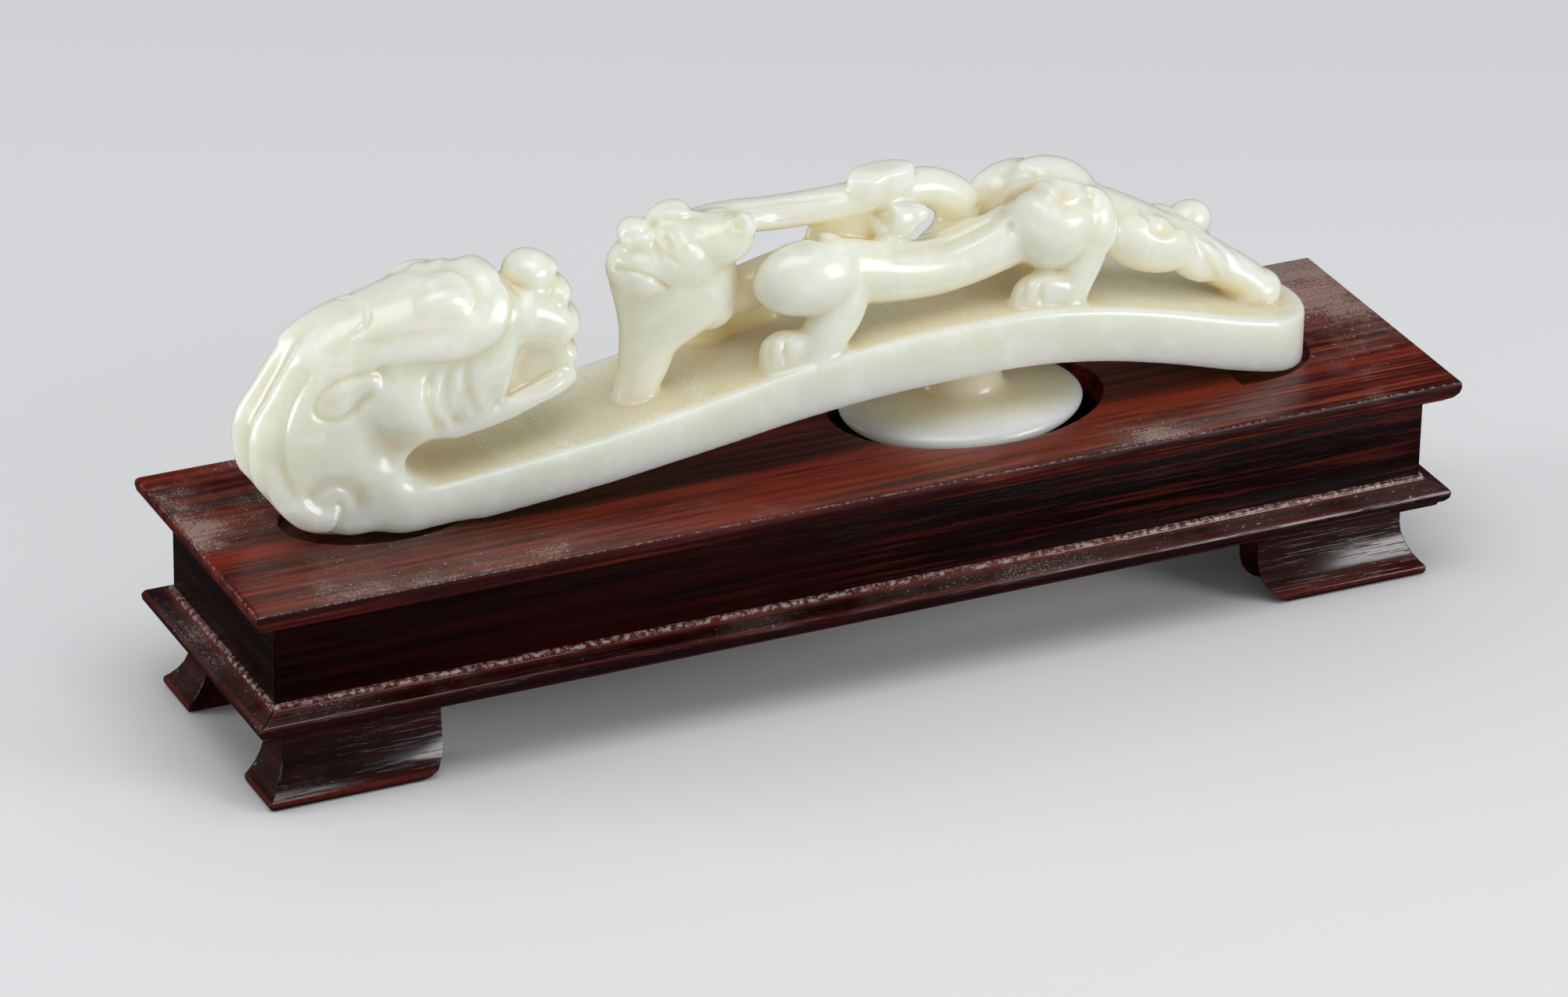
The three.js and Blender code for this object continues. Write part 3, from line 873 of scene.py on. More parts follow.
    def shelter(self, rays: int, step: int) -> np.ndarray:
        """How much of the space above each vertex is shut out by the stone itself.

        Args:
            rays: How many directions are tried.
            step: One vertex in this many is tried, and its neighbours follow it.

        Returns:
            A share from 0 to 1 for each vertex.
        """
        tree = self.tree()
        normals = self.normals()
        golden = math.pi * (3 - math.sqrt(5))
        local = []
        for i in range(rays):
            height = 1 - self.LOWEST * (i + 0.5) / rays
            radius = math.sqrt(1 - height * height)
            local.append((radius * math.cos(golden * i), radius * math.sin(golden * i), height))
        shut = np.zeros(len(self.places))
        weight = np.zeros(len(self.places))
        off, reach = self.RAY
        for i in range(0, len(self.places), step):
            n = Vector(normals[i])
            side = n.orthogonal().normalized()
            other = n.cross(side)
            start = Vector(self.places[i]) + n * off
            hits = sum(tree.ray_cast(start, side * x + other * y + n * z, reach)[0] is not None
                       for x, y, z in local)
            shut[i] = hits / rays
            weight[i] = 1.0
        for _ in range(self.SHADE_BLUR):
            shut = self.spread(shut)
            weight = self.spread(weight)
        return shut / np.maximum(weight, 1e-6)

    def write(self) -> None:
        """Puts the places back into the mesh."""
        self.item.data.vertices.foreach_set("co", (self.places * MM).ravel())
        self.item.data.update()


@dataclass
class JadeHook:
    """The jade belt hook: forms, fusing, carving and finish.

    Places along X are from the stand's middle, and heights are above the stand's top.

    Attributes:
        lift: The height of the stand's top.
        left: Where the neck ends. The stone is length long from there.
        base: The height of the plate's underside at its ends. It rises by arch between them.
        thickness, width, neck_width: The plate's greatest sizes, and its width by the neck.
        tail_power: How square its round end is.
        root: The shares of the length before the plate starts and over which it grows.
        root_thin, root_width: The share of its thickness that it lacks where it starts, and
            the share of its width that it has there.
        shoulder: The shares of the length over which it widens.
        belt_gap: The height between the plate and the button.
        button, stem: Their length and width, and the button's thickness.
        button_share: Where along the length they are.
        stations: How many sections the plate has along it and round its end.
        throat_round, throat_curl: How long the throat's round end is, and how far its floor
            rises there.
        triangles: The most that the finished mesh has.
    """

    lift: float
    left: float = -64.8
    length: float = 123.2
    base: float = -0.9
    arch: float = 7.5
    thickness: float = 6.2
    width: float = 16.6
    neck_width: float = 12.4
    tail_power: float = 2.4
    root: Pair = (0.08, 0.05)
    root_thin: float = 0.25
    root_width: float = 0.6
    shoulder: Pair = (0.08, 0.34)
    belt_gap: float = 4.9
    button: Point = (27.4, 21.8, 4.7)
    stem: Pair = (8.6, 7.0)
    button_share: float = 0.672
    stations: tuple[int, int] = (84, 26)
    throat_round: float = 3.4
    throat_curl: float = 1.5
    groove: Pair = (1.2, 2.6)
    cell: float = 0.22
    shelter: tuple[int, int] = (14, 3)
    quick_cell: float = 0.34
    quick_shelter: tuple[int, int] = (8, 7)
    triangles: int = 192000
    view: PhotoView = field(default_factory=PhotoView)

    ARCH_SHARES = (
        (0, 0), (0.08, 0), (0.18, 0.14), (0.25, 0.29), (0.33, 0.47), (0.41, 0.65),
        (0.49, 0.84), (0.57, 0.96), (0.65, 1), (0.714, 0.98), (0.778, 0.84), (0.842, 0.6),
        (0.906, 0.3), (0.954, 0.12), (1, 0),
    )
    THICKNESS_SHARES = ((0, 0.8), (0.2, 0.82), (0.35, 0.87), (0.5, 0.95), (0.65, 1), (1, 1))
    # The button and the stem from below to above: the shares of half axes and of height.
    BUTTON_SHARES = (
        (0.35, 0.02), (0.62, 0.1), (0.82, 0.24), (0.95, 0.42), (1, 0.6), (0.97, 0.74),
        (0.88, 0.84), (0.7, 0.93), (0.5, 0.98), (0.36, 1),
    )
    STEM_SHARES = ((1.3, -0.2), (1.08, 0.12), (1, 0.5), (1.05, 0.8), (1.3, 1.2))

    NECK = Loft((
        (-64.8, 8.4, 12.45, 2.6), (-64.2, 6.5, 14.1, 3.97), (-63, 5.1, 15.9, 5.08),
        (-61, 2.4, 19.0, 5.77), (-58.5, 0.15, 22.0, 6.08), (-55, -0.9, 23.9, 6.2),
        (-51, -0.75, 24.8, 6.2), (-48.5, -0.4, 25.2, 6.0), (-47, 0.4, 24.3, 5.6),
    ), corner=0.8)
    SKULL = Loft((
        (-54, 9.6, 23.55, 5.58), (-49.4, 9.0, 25.2, 6.2), (-44.9, 9.0, 26.25, 6.3),
        (-41, 9.3, 26.85, 6.2), (-37.5, 9.75, 26.46, 5.8), (-35.55, 16.65, 24.45, 5.2),
        (-33, 16.5, 23.85, 4.7), (-30, 16.35, 21.75, 4.5), (-28.05, 17.1, 19.8, 3.1),
    ), corner=0.88)
    JAW = Loft((
        (-46.05, 8.1, 14.1, 5.7), (-39.3, 8.4, 13.05, 5.58), (-34.8, 9.6, 13.35, 5.2),
        (-31.05, 10.95, 13.95, 4.6), (-28.4, 12, 14.1, 3.35),
    ), corner=0.66)
    MOUTH_WEB = Loft((
        (-38.55, 11.7, 18.9, 3.9), (-34.05, 12, 18.9, 3.7), (-29.2, 12.6, 17.7, 3.2),
    ), corner=0.75)
    HEAD_LUMPS = (
        Lump((-32.6, 0, 24.5), (2.8, 3.0, 2.25), turn=8),
        Lump((-30.5, 0, 24.8), (1.0, 2.0, 0.9)),
        Lump((-32.9, 0, 21.8), (2.9, 3.4, 3.2)),
        Lump((-30.0, 0, 22.1), (1.75, 3.6, 1.6)),
        Lump((-29.6, 0, 18.6), (2.35, 4.0, 2.35)),
        Lump((-29.3, 0, 15.1), (1.85, 3.5, 1.65)),
        Lump((-29.3, 0, 12.6), (1.65, 3.6, 1.35)),
        Lump((-43.8, 3.7, 23.85), (3.4, 1.6, 2.25), paired=True),
        Lump((-48.1, 5.1, 13.6), (3.9, 2.2, 4.5), paired=True),
        Lump((-44.3, 4.9, 13.6), (1.5, 1.75, 3.6), paired=True),
        Lump((-41.0, 4.5, 13.7), (2.3, 1.8, 3.5), paired=True),
        Lump((-56.9, 5.3, 16.2), (1.9, 1.1, 1.6), paired=True),
        Lump((-52.6, 4.2, 1.7), (4.6, 1.5, 1.7), paired=True),
    )
    NECK_RIDGE = Limb((
        (-61.8, 3.4, 12.5, 1.0, 1.0), (-62.5, 3.8, 9.0, 1.4, 1.4), (-61.2, 4.2, 5.9, 1.8, 1.8),
        (-59.2, 4.4, 3.7, 1.9, 1.9), (-56.9, 4.4, 2.8, 1.8, 1.8),
    ), paired=True)
    SPINE = (
        (-54.7, 0, 25.1), (-58.8, 0, 22.3), (-62, 0, 18.2), (-64.2, 0, 13.8), (-65.25, 0, 9.9),
        (-64.6, 0, 6.3), (-62.55, 0, 2.4), (-59.55, 0, -0.3),
    )
    THROAT_TOP = ((-48.7, 8.2), (-47.4, 8.6), (-42, 9.6), (-37.3, 10.3), (-33, 11.4), (-26, 12.6))

    DRAGON_LUMPS = (
        Lump((-16.3, -0.3, 23.6), (6.3, 4.5, 4.4)),
        Lump((-20.3, -0.6, 22.9), (3.5, 3.8, 3.4)),
        Lump((-20.9, -0.8, 26.9), (1.9, 2.3, 1.7)),
        Lump((-16.9, 0.3, 27.2), (2.9, 1.9, 2.0), turn=-24),
        Lump((-12.0, -1.3, 25.0), (4.4, 3.5, 3.0)),
        Lump((-9.9, -3.7, 26.9), (1.6, 1.2, 1.5)),
        Lump((-10.4, 2.6, 25.2), (1.6, 1.3, 1.5)),
        Lump((-2.6, -4.2, 19.9), (6.2, 3.5, 4.15)),
        Lump((-12.6, -0.4, 16.7), (3.3, 2.8, 2.4)),
        Lump((-9.6, 5.6, 11.3), (3.6, 1.8, 1.6)),
        Lump((8.9, -1.6, 23.1), (2.7, 1.5, 2.1)),
        Lump((11.0, -1.8, 23.7), (1.7, 1.1, 1.1), turn=-12),
        Lump((4.6, 0.6, 22.2), (5.2, 1.7, 3.0)),
        Lump((26.4, -3.5, 20.5), (5.3, 3.9, 4.9)),
        Lump((25.4, 3.6, 20.3), (5.8, 3.8, 4.9)),
        Lump((28.6, 1.4, 22.3), (5.6, 3.2, 3.6), turn=18),
        Lump((38.3, -2.9, 15.9), (6.3, 2.1, 3.2), turn=22),
        Lump((46.5, 3.0, 14.7), (2.7, 2.2, 2.3)),
        Lump((42.4, 3.0, 15.6), (2.5, 1.8, 1.6)),
        Lump((44.6, -2.4, 12.6), (4.6, 1.3, 2.3), turn=32),
        Lump((30.9, -3.4, 19.8), (3.1, 3.2, 4.3)),
        Lump((52.7, -0.9, 7.2), (3.2, 3.0, 2.2)),
    )
    CLOUD_DISCS = (
        Disc((8.0, 0.2, 27.8), (3.7, 1.9), 1.2),
        Disc((6.0, -0.4, 27.5), (2.3, 1.7), 1.2),
    )
    DRAGON_LIMBS = (
        Limb(((-13.2, 1.0, 18.5, 3.2, 3.6), (-11.2, 3.0, 14.8, 2.5, 2.6),
              (-9.8, 4.8, 12.0, 2.1, 2.2), (-9.2, 5.5, 9.2, 2.1, 2.2))),
        Limb(((-14, 0.2, 18.5, 3.0, 3.6), (-9.5, 0.8, 17.3, 2.5, 2.6),
              (-4, 0.8, 18.2, 2.6, 2.6), (2, -0.6, 19.7, 3.0, 3.0))),
        Limb(((-1.0, -3.2, 20.4, 3.2, 3.8), (6.0, -3.1, 18.6, 3.1, 3.5),
              (13.2, -2.8, 17.8, 3.1, 3.1), (20.5, -2.5, 19.2, 3.1, 3.3),
              (27.5, -1.6, 21.2, 3.3, 3.5))),
        Limb(((2.0, -3.8, 18.6, 2.8, 2.9), (0.8, -4.9, 15.9, 2.4, 2.9),
              (-1.2, -5.6, 13.4, 2.1, 2.7), (-2.4, -5.8, 10.6, 2.1, 2.7))),
        Loft(((-8.3, 9.6, 12.6, 0.9), (-7.8, 9.6, 13.8, 1.4), (-6.2, 9.6, 14.6, 1.7),
              (-4.4, 9.8, 14.5, 1.7), (-2.2, 10.0, 13.9, 1.7)), corner=0.7, beside=5.4,
             paired=True),
        Loft(((21.0, 12.2, 13.4, 0.8), (21.8, 12.2, 15.0, 1.3), (23.6, 12.2, 15.9, 1.6),
              (26.0, 12.2, 15.8, 1.7), (27.9, 12.2, 14.6, 1.6)), corner=0.72, beside=5.4,
             paired=True),
        Limb(((29.6, 3.6, 21.0, 2.7, 3.0), (29.9, 4.4, 17.4, 2.2, 2.6),
              (28.3, 5.2, 14.2, 1.9, 2.2), (26.9, 5.5, 11.2, 1.8, 2.2)), paired=True),
        Limb(((29.5, 0, 20.6, 3.5, 3.5), (36.6, 0, 17.6, 3.1, 3.0), (43.0, 0.1, 14.1, 2.8, 2.6),
              (48.6, -0.2, 10.4, 2.9, 2.4), (52.4, -0.7, 7.7, 2.8, 2.2),
              (53.4, -0.9, 4.8, 2.8, 2.0))),
        Limb(((-14.5, 0.6, 25.8, 2.2, 1.7), (-9.6, 1.1, 25.8, 2.4, 1.7),
              (-3.4, 1.1, 25.4, 2.5, 1.7), (2.8, 0.8, 25.5, 2.5, 1.7),
              (8.8, 0.8, 25.8, 2.4, 1.7))),
        Limb(((8.6, 0.8, 25.9, 2.2, 1.8), (14.4, 1.6, 24.9, 2.2, 2.2),
              (17.8, 1.9, 22.2, 2.2, 2.5), (16.8, 1.2, 19.3, 2.3, 2.3),
              (13.6, -0.2, 18.0, 2.3, 2.0))),
    )
    CHEST = Turning((
        (-16.5, -0.2, 23.4, 6.6, 3.6), (-16.3, -0.2, 21.4, 7.1, 3.9), (-15.9, -0.3, 18.8, 6.9, 3.9),
        (-16.2, -0.4, 16.6, 6.2, 3.7), (-17.6, -0.5, 15.0, 4.7, 3.3),
        (-19.2, -0.7, 13.4, 3.2, 2.8), (-19.9, -0.9, 11.2, 2.8, 2.4),
        (-20.9, -1.1, 8.6, 2.3, 2.3), (-21.1, -1.1, 7.0, 2.5, 2.6),
    ), smooth=24)

    # The head's lines and dents are all cut on both sides.
    HEAD_LINES = (
        Line(((406, 471), (385, 503), (371, 535), (366, 573), (371, 612), (390, 651)),
             Cut.STEP_RIGHT, 0.5, 0.8, 5.0, tint=0.15),
        Line(((497, 478), (484, 476), (459, 479), (436, 486), (417, 497), (404, 513),
              (403, 527), (411, 535), (430, 537), (449, 529), (465, 513), (484, 495)),
             Cut.GROOVE, 0.32, 0.75, tint=0.45),
        Line(((433, 439), (459, 436), (484, 430), (522, 423.5), (561, 418), (586, 412)),
             Cut.STEP_RIGHT, 0.25, 0.7, 2.2, tint=0.35, taper=4.0),
        Line(((471, 471), (490, 466), (522, 462), (561, 461), (586, 459), (605, 454),
              (624, 444), (640, 430), (650, 408), (652.5, 385), (647, 366), (634, 355)),
             Cut.STEP_RIGHT, 0.6, 0.9, 3.5, tint=0.3),
        Line(((439, 387), (449, 390), (446, 403), (444, 411)), Cut.GROOVE, 0.25, 0.6,
             tint=0.3, taper=2.5),
        Line(((459, 385), (468, 395), (469, 408), (462, 420), (449, 430), (438, 441)),
             Cut.GROOVE, 0.28, 0.6, tint=0.3, taper=3.0),
        Line(((535, 356.5), (546, 348.6), (561, 344.7), (577, 345), (592.5, 352),
              (602, 364.5), (603, 379), (599, 391.6), (591, 406), (584.5, 411)),
             Cut.STEP_LEFT, 0.3, 0.8, 2.6, tint=0.25, taper=4.0),
        Line(((528, 577), (506, 566), (488, 550), (478, 530), (480, 512), (492, 498)),
             Cut.STEP_LEFT, 0.36, 1.4, 3.5, tint=0.1, taper=2.5),
        Line(((560, 468), (550, 496), (551, 524), (564, 556)), Cut.GROOVE, 0.42, 1.0,
             tint=0.3, taper=2.0),
        Line(((584, 462), (572, 492), (575, 522), (590, 550)), Cut.GROOVE, 0.42, 1.0,
             tint=0.3, taper=2.0),
        Line(((609, 456), (598, 484), (602, 512), (615, 536)), Cut.GROOVE, 0.42, 1.0,
             tint=0.3, taper=2.0),
        Line(((634, 516), (660, 504), (690, 488), (723, 468)), Cut.RIDGE, 0.35, 0.8,
             tint=0.0),
        Line(((401, 650), (404, 638), (413, 629), (428, 625), (443, 630), (453, 642),
              (456, 657)), Cut.STEP_LEFT, 0.35, 0.7, 2.2, tint=0.3),
        Line(((432, 664), (440, 655), (436, 645), (425, 645)), Cut.GROOVE, 0.3, 0.5,
             tint=0.3, taper=0.8),
        Line(((685, 364), (681, 352), (682, 340)), Cut.RIDGE, 0.25, 0.6, tint=0.0),
        Line(((659, 372), (657, 392), (657, 411)), Cut.GROOVE, 0.4, 0.7, tint=0.6),
        Line(((638, 510), (662, 497), (690, 482), (722, 464)), Cut.GROOVE, 0.4, 0.55,
             tint=0.5),
    )
    HEAD_DENTS = (
        Dent((425, 518), 2.1, 0.6, tint=0.5),
        Dent((431, 657), 2.6, -0.5, tint=0.0, flat=0.2),
        Dent((500, 578), 4.4, 0.95, tint=0.05),
        Dent((552, 361), 1.4, -0.3, tint=0.0),
        Dent((685, 470), 3.0, 0.3, tint=1.0, flat=0.5),
    )
    DRAGON_LINES = (
        Line(((779, 339), (797, 343), (825, 351), (843, 361), (856, 372)), Cut.GROOVE, 0.42,
             0.5, tint=0.45, taper=1.0),
        Line(((836, 276), (832, 284), (825, 292), (812, 299), (794, 303)), Cut.GROOVE, 0.35,
             0.6, tint=0.3, taper=0.6),
        Line(((849, 290), (858, 303), (864, 314), (868, 324)), Cut.RIDGE, 0.28, 0.7, tint=0.0,
             taper=1.4),
        Line(((841, 296), (853, 311), (861, 326)), Cut.GROOVE, 0.22, 0.6, taper=1.0),
        Line(((871, 300), (877, 312), (883, 323)), Cut.RIDGE, 0.28, 0.7, tint=0.0, taper=1.4),
        Line(((888, 294), (896, 306), (902, 317)), Cut.RIDGE, 0.28, 0.7, tint=0.0, taper=1.4),
        Line(((830, 300), (838, 317), (848, 337)), Cut.GROOVE, 0.24, 0.6, taper=1.0),
        Line(((838, 318), (856, 328), (875, 343)), Cut.GROOVE, 0.26, 0.6, taper=1.0),
        Line(((838, 272), (862, 272), (886, 273), (906, 277)), Cut.RIDGE, 0.35, 0.7, tint=0.0),
        Line(((941, 271), (951, 275), (955, 285), (951, 294), (941, 298), (931, 294), (927, 285),
              (931, 275), (941, 271)), Cut.RIDGE, 0.15, 0.5, tint=0.0, closed=True),
        Line(((1003, 318), (1030, 306), (1060, 300), (1092, 300), (1125, 306)), Cut.STEP_RIGHT,
             0.3, 0.7, 2.5, tint=0.4),
        Line(((1125, 306), (1162, 306), (1205, 297), (1249, 275), (1276, 253), (1293, 238),
              (1317, 230), (1337, 229), (1361, 234), (1384, 240), (1404, 243)), Cut.RIDGE, 0.35,
             0.7, tint=0.0),
        Line(((1125, 314), (1162, 314), (1206, 305), (1258, 279), (1282, 257), (1302, 242),
              (1320, 236), (1333, 239), (1343, 248), (1358, 258), (1372, 256), (1386, 250),
              (1404, 246)), Cut.STEP_RIGHT, 0.35, 0.7, 2.2, tint=0.4),
        Line(((1291, 207), (1308, 215), (1322, 221), (1334, 227)), Cut.STEP_RIGHT, 0.4, 0.7, 3.0,
             tint=0.2),
        Line(((1289, 278), (1287, 290), (1289, 303)), Cut.GROOVE, 0.4, 0.8, tint=0.3, taper=0.8),
        Line(((1116, 262), (1113, 278), (1122, 292), (1140, 302)), Cut.STEP_LEFT, 0.45, 0.7, 2.5,
             tint=0.5),
        Line(((1308, 354), (1305, 373), (1308, 392)), Cut.GROOVE, 0.4, 0.6, paired=True),
        Line(((1331, 354), (1328, 374), (1331, 394)), Cut.GROOVE, 0.32, 0.6, paired=True),
        Line(((985, 430), (982, 450), (985, 472)), Cut.GROOVE, 0.34, 0.6, paired=True),
        Line(((1005, 424), (1001, 446), (1004, 472)), Cut.GROOVE, 0.34, 0.6, paired=True),
        Line(((1452, 274), (1461, 277), (1467, 285), (1470, 297), (1485, 303),
              (1500, 298), (1506, 289), (1502, 279)), Cut.STEP_LEFT, 0.4, 0.7, 2.2, tint=0.4,
             taper=0.8),
        Line(((1522, 299), (1536, 315), (1548, 331), (1556, 346), (1558, 360)), Cut.STEP_RIGHT,
             0.5, 0.6, 2.5, tint=0.4),
        Line(((1544, 307), (1566, 323), (1589, 345)), Cut.RIDGE, 0.3, 0.9, tint=0.0, taper=3.0),
        Line(((1578.6, 385), (1597, 387.5), (1621.5, 385)), Cut.GROOVE, 0.35, 0.6),
    )
    DRAGON_DENTS = (
        Dent((1486, 290), 1.7, 0.15, tint=0.7, flat=0.2),
        Dent((1361, 250), 2.0, 0.35, tint=0.7, flat=0.1),
        Dent((941, 285), 1.2, 0.3, tint=0.8, flat=0.4),
        Dent((1130, 277), 1.6, 0.45, tint=0.7, flat=0.3),
    )

    MANE_TOP = ((890, 266), (1000, 250), (1085, 243))
    MANE_FOOT = ((950, 292), (1030, 283), (1095, 272))
    MANE_SHARES = (0.2, 0.35, 0.5, 0.65, 0.8)

    # Softening: the share that a pass moves, over the whole blank where it stands proud and
    # where it is hollow, and at the joins; and the passes, with the fewest on a coarse blank.
    RELAX, MELT, NAPE_MELT = (0.12, 0.55), 0.6, 0.5
    RELAX_PASSES, ROOT_PASSES = (26, 4), (260, 20)
    HEEL_PASSES, NAPE_PASSES = (70, 10), (34, 6)
    # Where those joins are: soft steps along X, and in height.
    BEHIND = (-55.0, -50.5)
    OFF_PLATE = (0.5, 3.0)
    ROOT_STEPS = ((-46.0, -39.0), (8.0, 9.5))
    GULLET_STEPS = ((-47.0, -42.5), (10.0, 12.0))
    HEEL_STEPS = ((-44.0, -40.0), (2.0, 4.0))
    NAPE_STEPS = ((-50.0, -46.0), (14.0, 18.0))
    # Where dust lies: how level the surface is, how far above and below the plate's top it
    # is, how far in from the edge, where along X it starts, and how sheltered it is.
    DUST_LEVEL, DUST_ABOVE, DUST_BELOW = (0.7, 0.95), (0.5, 1.1), (-1.0, -0.3)
    DUST_INSET, DUST_START, DUST_SHADE = (0.3, 1.5), (-48.0, -42.5), (0.02, 0.4)

    def share(self, x: float) -> float:
        """How far along the stone a place along X is, from 0 to 1."""
        return (x - self.left) / self.length

    def under(self, x: float) -> float:
        """The height of the plate's underside at a place along X."""
        return self.base + self.arch * read_shares(self.ARCH_SHARES, self.share(x))

    def top(self, x: float) -> float:
        """The height of the plate's top at a place along X."""
        shares = read_shares(self.THICKNESS_SHARES, self.share(x))
        return self.under(x) + self.thickness * shares

    def half_width(self, x: float) -> float:
        """Half the plate's width at a place along X.

        Args:
            x: The place.

        Returns:
            The half width, 0 at the tail's tip.
        """
        widening = float(rise(*self.shoulder, self.share(x)))
        full = (self.neck_width + (self.width - self.neck_width) * widening) / 2
        turn = max(1 - (self.left + self.length - x) / (self.width / 2), 0.0)
        return full * math.sqrt(max(1 - turn**self.tail_power, 0.0))

    def plate(self) -> list[Object]:
        """Makes the arched plate, tucked under the neck at one end and round at the other.

        Returns:
            The plate, in a list.
        """
        start, end = self.left + self.root[0] * self.length, self.left + self.length
        along, round_steps = self.stations
        straight = np.linspace(start, end - self.width / 2, along)
        turns = np.linspace(0.03, 1, round_steps) * math.pi / 2
        round_end = end - self.width / 2 * (1 - np.sin(turns))
        rows = []
        for x in (*straight, *round_end):
            grown = float(rise(start, start + self.root[1] * self.length, x))
            low = self.under(x) + self.thickness * self.root_thin * (1 - grown)
            share = self.root_width + (1 - self.root_width) * grown
            half = max(self.half_width(x) * share, 0.7)
            rows.append((float(x), low, self.top(x), half))
        return Loft(tuple(rows), corner=0.09, steps=0, segments=3).build(self.lift)

    def button_forms(self) -> list[Object]:
        """Makes the oval button and its stem.

        Returns:
            The two forms.
        """
        x = self.left + self.button_share * self.length
        top = self.under(x) - self.belt_gap
        length, width, thick = self.button
        button = tuple((x, 0.0, top - thick * (1 - up), length / 2 * out, width / 2 * out)
                       for out, up in self.BUTTON_SHARES)
        length, width = self.stem
        stem = tuple((x, 0.0, top + self.belt_gap * up, length / 2 * out, width / 2 * out)
                     for out, up in self.STEM_SHARES)
        return [*Turning(button, sides=96, smooth=40).build(self.lift),
                *Turning(stem, sides=64).build(self.lift)]

    def throat(self) -> Object:
        """Makes the space between the jaw and the plate, round at its left end.

        Returns:
            The form that is cut away.
        """
        gap_x, gap_z = np.array(self.THROAT_TOP).T
        start, reach = gap_x[0], self.throat_round
        rows = []
        for x in (*(start + reach * (1 - np.cos(np.linspace(0.08, 1, 9) * math.pi / 2))),
                  *np.linspace(start + reach + 0.8, gap_x[-1], 22)):
            share = min((x - start) / reach, 1.0)
            curl = self.throat_curl * max(1 - (x - start) / (1.6 * reach), 0.0) ** 2
            low, high = self.top(x) + curl, float(np.interp(x, gap_x, gap_z))
            half = (high - low) / 2 * math.sqrt(max(1 - (1 - share) ** 2, 0.02))
            rows.append((float(x), (low + high) / 2 - half, (low + high) / 2 + half, 10.0))
        return Loft(tuple(rows), corner=0.02, steps=0, segments=1).build(self.lift)[0]

    def built(self, *forms: Form) -> list[Object]:
        """Makes the objects of several forms, in their order."""
        return [item for form in forms for item in form.build(self.lift)]

    def fuse(self, forms: list[Object], name: str, cell: float) -> Object:
        """Joins forms and fuses them into one skin.

        Args:
            forms: The forms, which may overlap.
            name: The fused object's name.
            cell: The size of its faces.

        Returns:
            The fused object.
        """
        choose(forms[0])
        for form in forms:
            form.select_set(True)
        bpy.ops.object.join()
        blank = bpy.context.object
        blank.name = name
        remesh = blank.modifiers.new("fuse", "REMESH")
        remesh.mode = "VOXEL"
        remesh.voxel_size = cell * MM
        remesh.use_smooth_shade = True
        apply_all(blank)
        return blank

    def head(self, cell: float) -> Object:
        """Makes the dragon's head and neck, with the throat cut out under the jaw.

        Args:
            cell: The size of the fused faces.

        Returns:
            The head.
        """
        forms = self.built(self.NECK, self.SKULL, self.JAW, self.MOUTH_WEB, self.NECK_RIDGE,
                           *self.HEAD_LUMPS)
        head = self.fuse(forms, "head", cell)
        throat = self.throat()
        cut = head.modifiers.new("throat", "BOOLEAN")
        cut.operation = "DIFFERENCE"
        cut.solver = "MANIFOLD"
        cut.object = throat
        apply_all(head)
        bpy.data.objects.remove(throat)
        return head

    def mane_lines(self) -> list[Line]:
        """Sets out the long lines that run down the mane, spread over its height.

        Returns:
            The lines.
        """
        high, low = np.array(self.MANE_TOP, dtype=float), np.array(self.MANE_FOOT, dtype=float)
        return [Line(tuple(map(tuple, high + (low - high) * share)), Cut.GROOVE, 0.36, 0.45,
                     tint=0.3, taper=3.0) for share in self.MANE_SHARES]

    def soften(self, stone: Stone, scale: float) -> None:
        """Softens the whole blank, and then the joins round the head more strongly.

        Args:
            stone: The fused blank.
            scale: What share of the passes a coarser blank needs.
        """

        def passes(full: int, fewest: int) -> int:
            """How many passes the blank needs."""
            return max(fewest, int(full * scale))

        stone.relax(passes(*self.RELAX_PASSES), *self.RELAX)
        x, z = stone.places[:, 0], stone.places[:, 2] - self.lift
        behind = rise(*self.BEHIND, x)
        root, gullet = (
            behind * fall(*along, x) * fall(*height, z) * rise(*self.OFF_PLATE, z)
            for along, height in (self.ROOT_STEPS, self.GULLET_STEPS))
        stone.melt(self.MELT * np.maximum(root, gullet), passes(*self.ROOT_PASSES))
        along, height = self.HEEL_STEPS
        heel = behind * fall(*along, x) * fall(*height, z)
        stone.melt(self.MELT * heel, passes(*self.HEEL_PASSES))
        along, height = self.NAPE_STEPS
        nape = fall(*along, x) * rise(*height, z)
        stone.melt(self.NAPE_MELT * nape, passes(*self.NAPE_PASSES))

    def build(self) -> Object:
        """Makes the finished stone.

        Returns:
            The belt hook, at the origin.
        """
        cell = self.cell
        forms = [self.head(cell), *self.plate(), *self.button_forms(),
                 *self.built(self.CHEST, *self.DRAGON_LUMPS, *self.CLOUD_DISCS,
                             *self.DRAGON_LIMBS)]
        blank = self.fuse(forms, "jade_belt_hook", cell)
        LOG.info("fused blank: %d faces", len(blank.data.polygons))
        stone = Stone(blank)
        self.soften(stone, (self.cell / cell) ** 2)
        stone.sweep_out(smooth_rows(np.array(self.SPINE) + (0, 0, self.lift), 40), *self.groove)
        head_lines, head_dents = ([replace(cut, paired=True) for cut in cuts]
                                  for cuts in (self.HEAD_LINES, self.HEAD_DENTS))
        stone.carve(self.view, [*head_lines, *self.DRAGON_LINES, *self.mane_lines()],
                    [*head_dents, *self.DRAGON_DENTS])
        stone.relax(2, 0.3, 0.3)
        stone.write()
        LOG.info("carved")
        shade = stone.shelter(*self.shelter)
        self.thin_out(blank, stone, {"hollow": stone.hollows(), "shade": shade,
                                     "dust": self.dust(stone, shade)})
        return blank

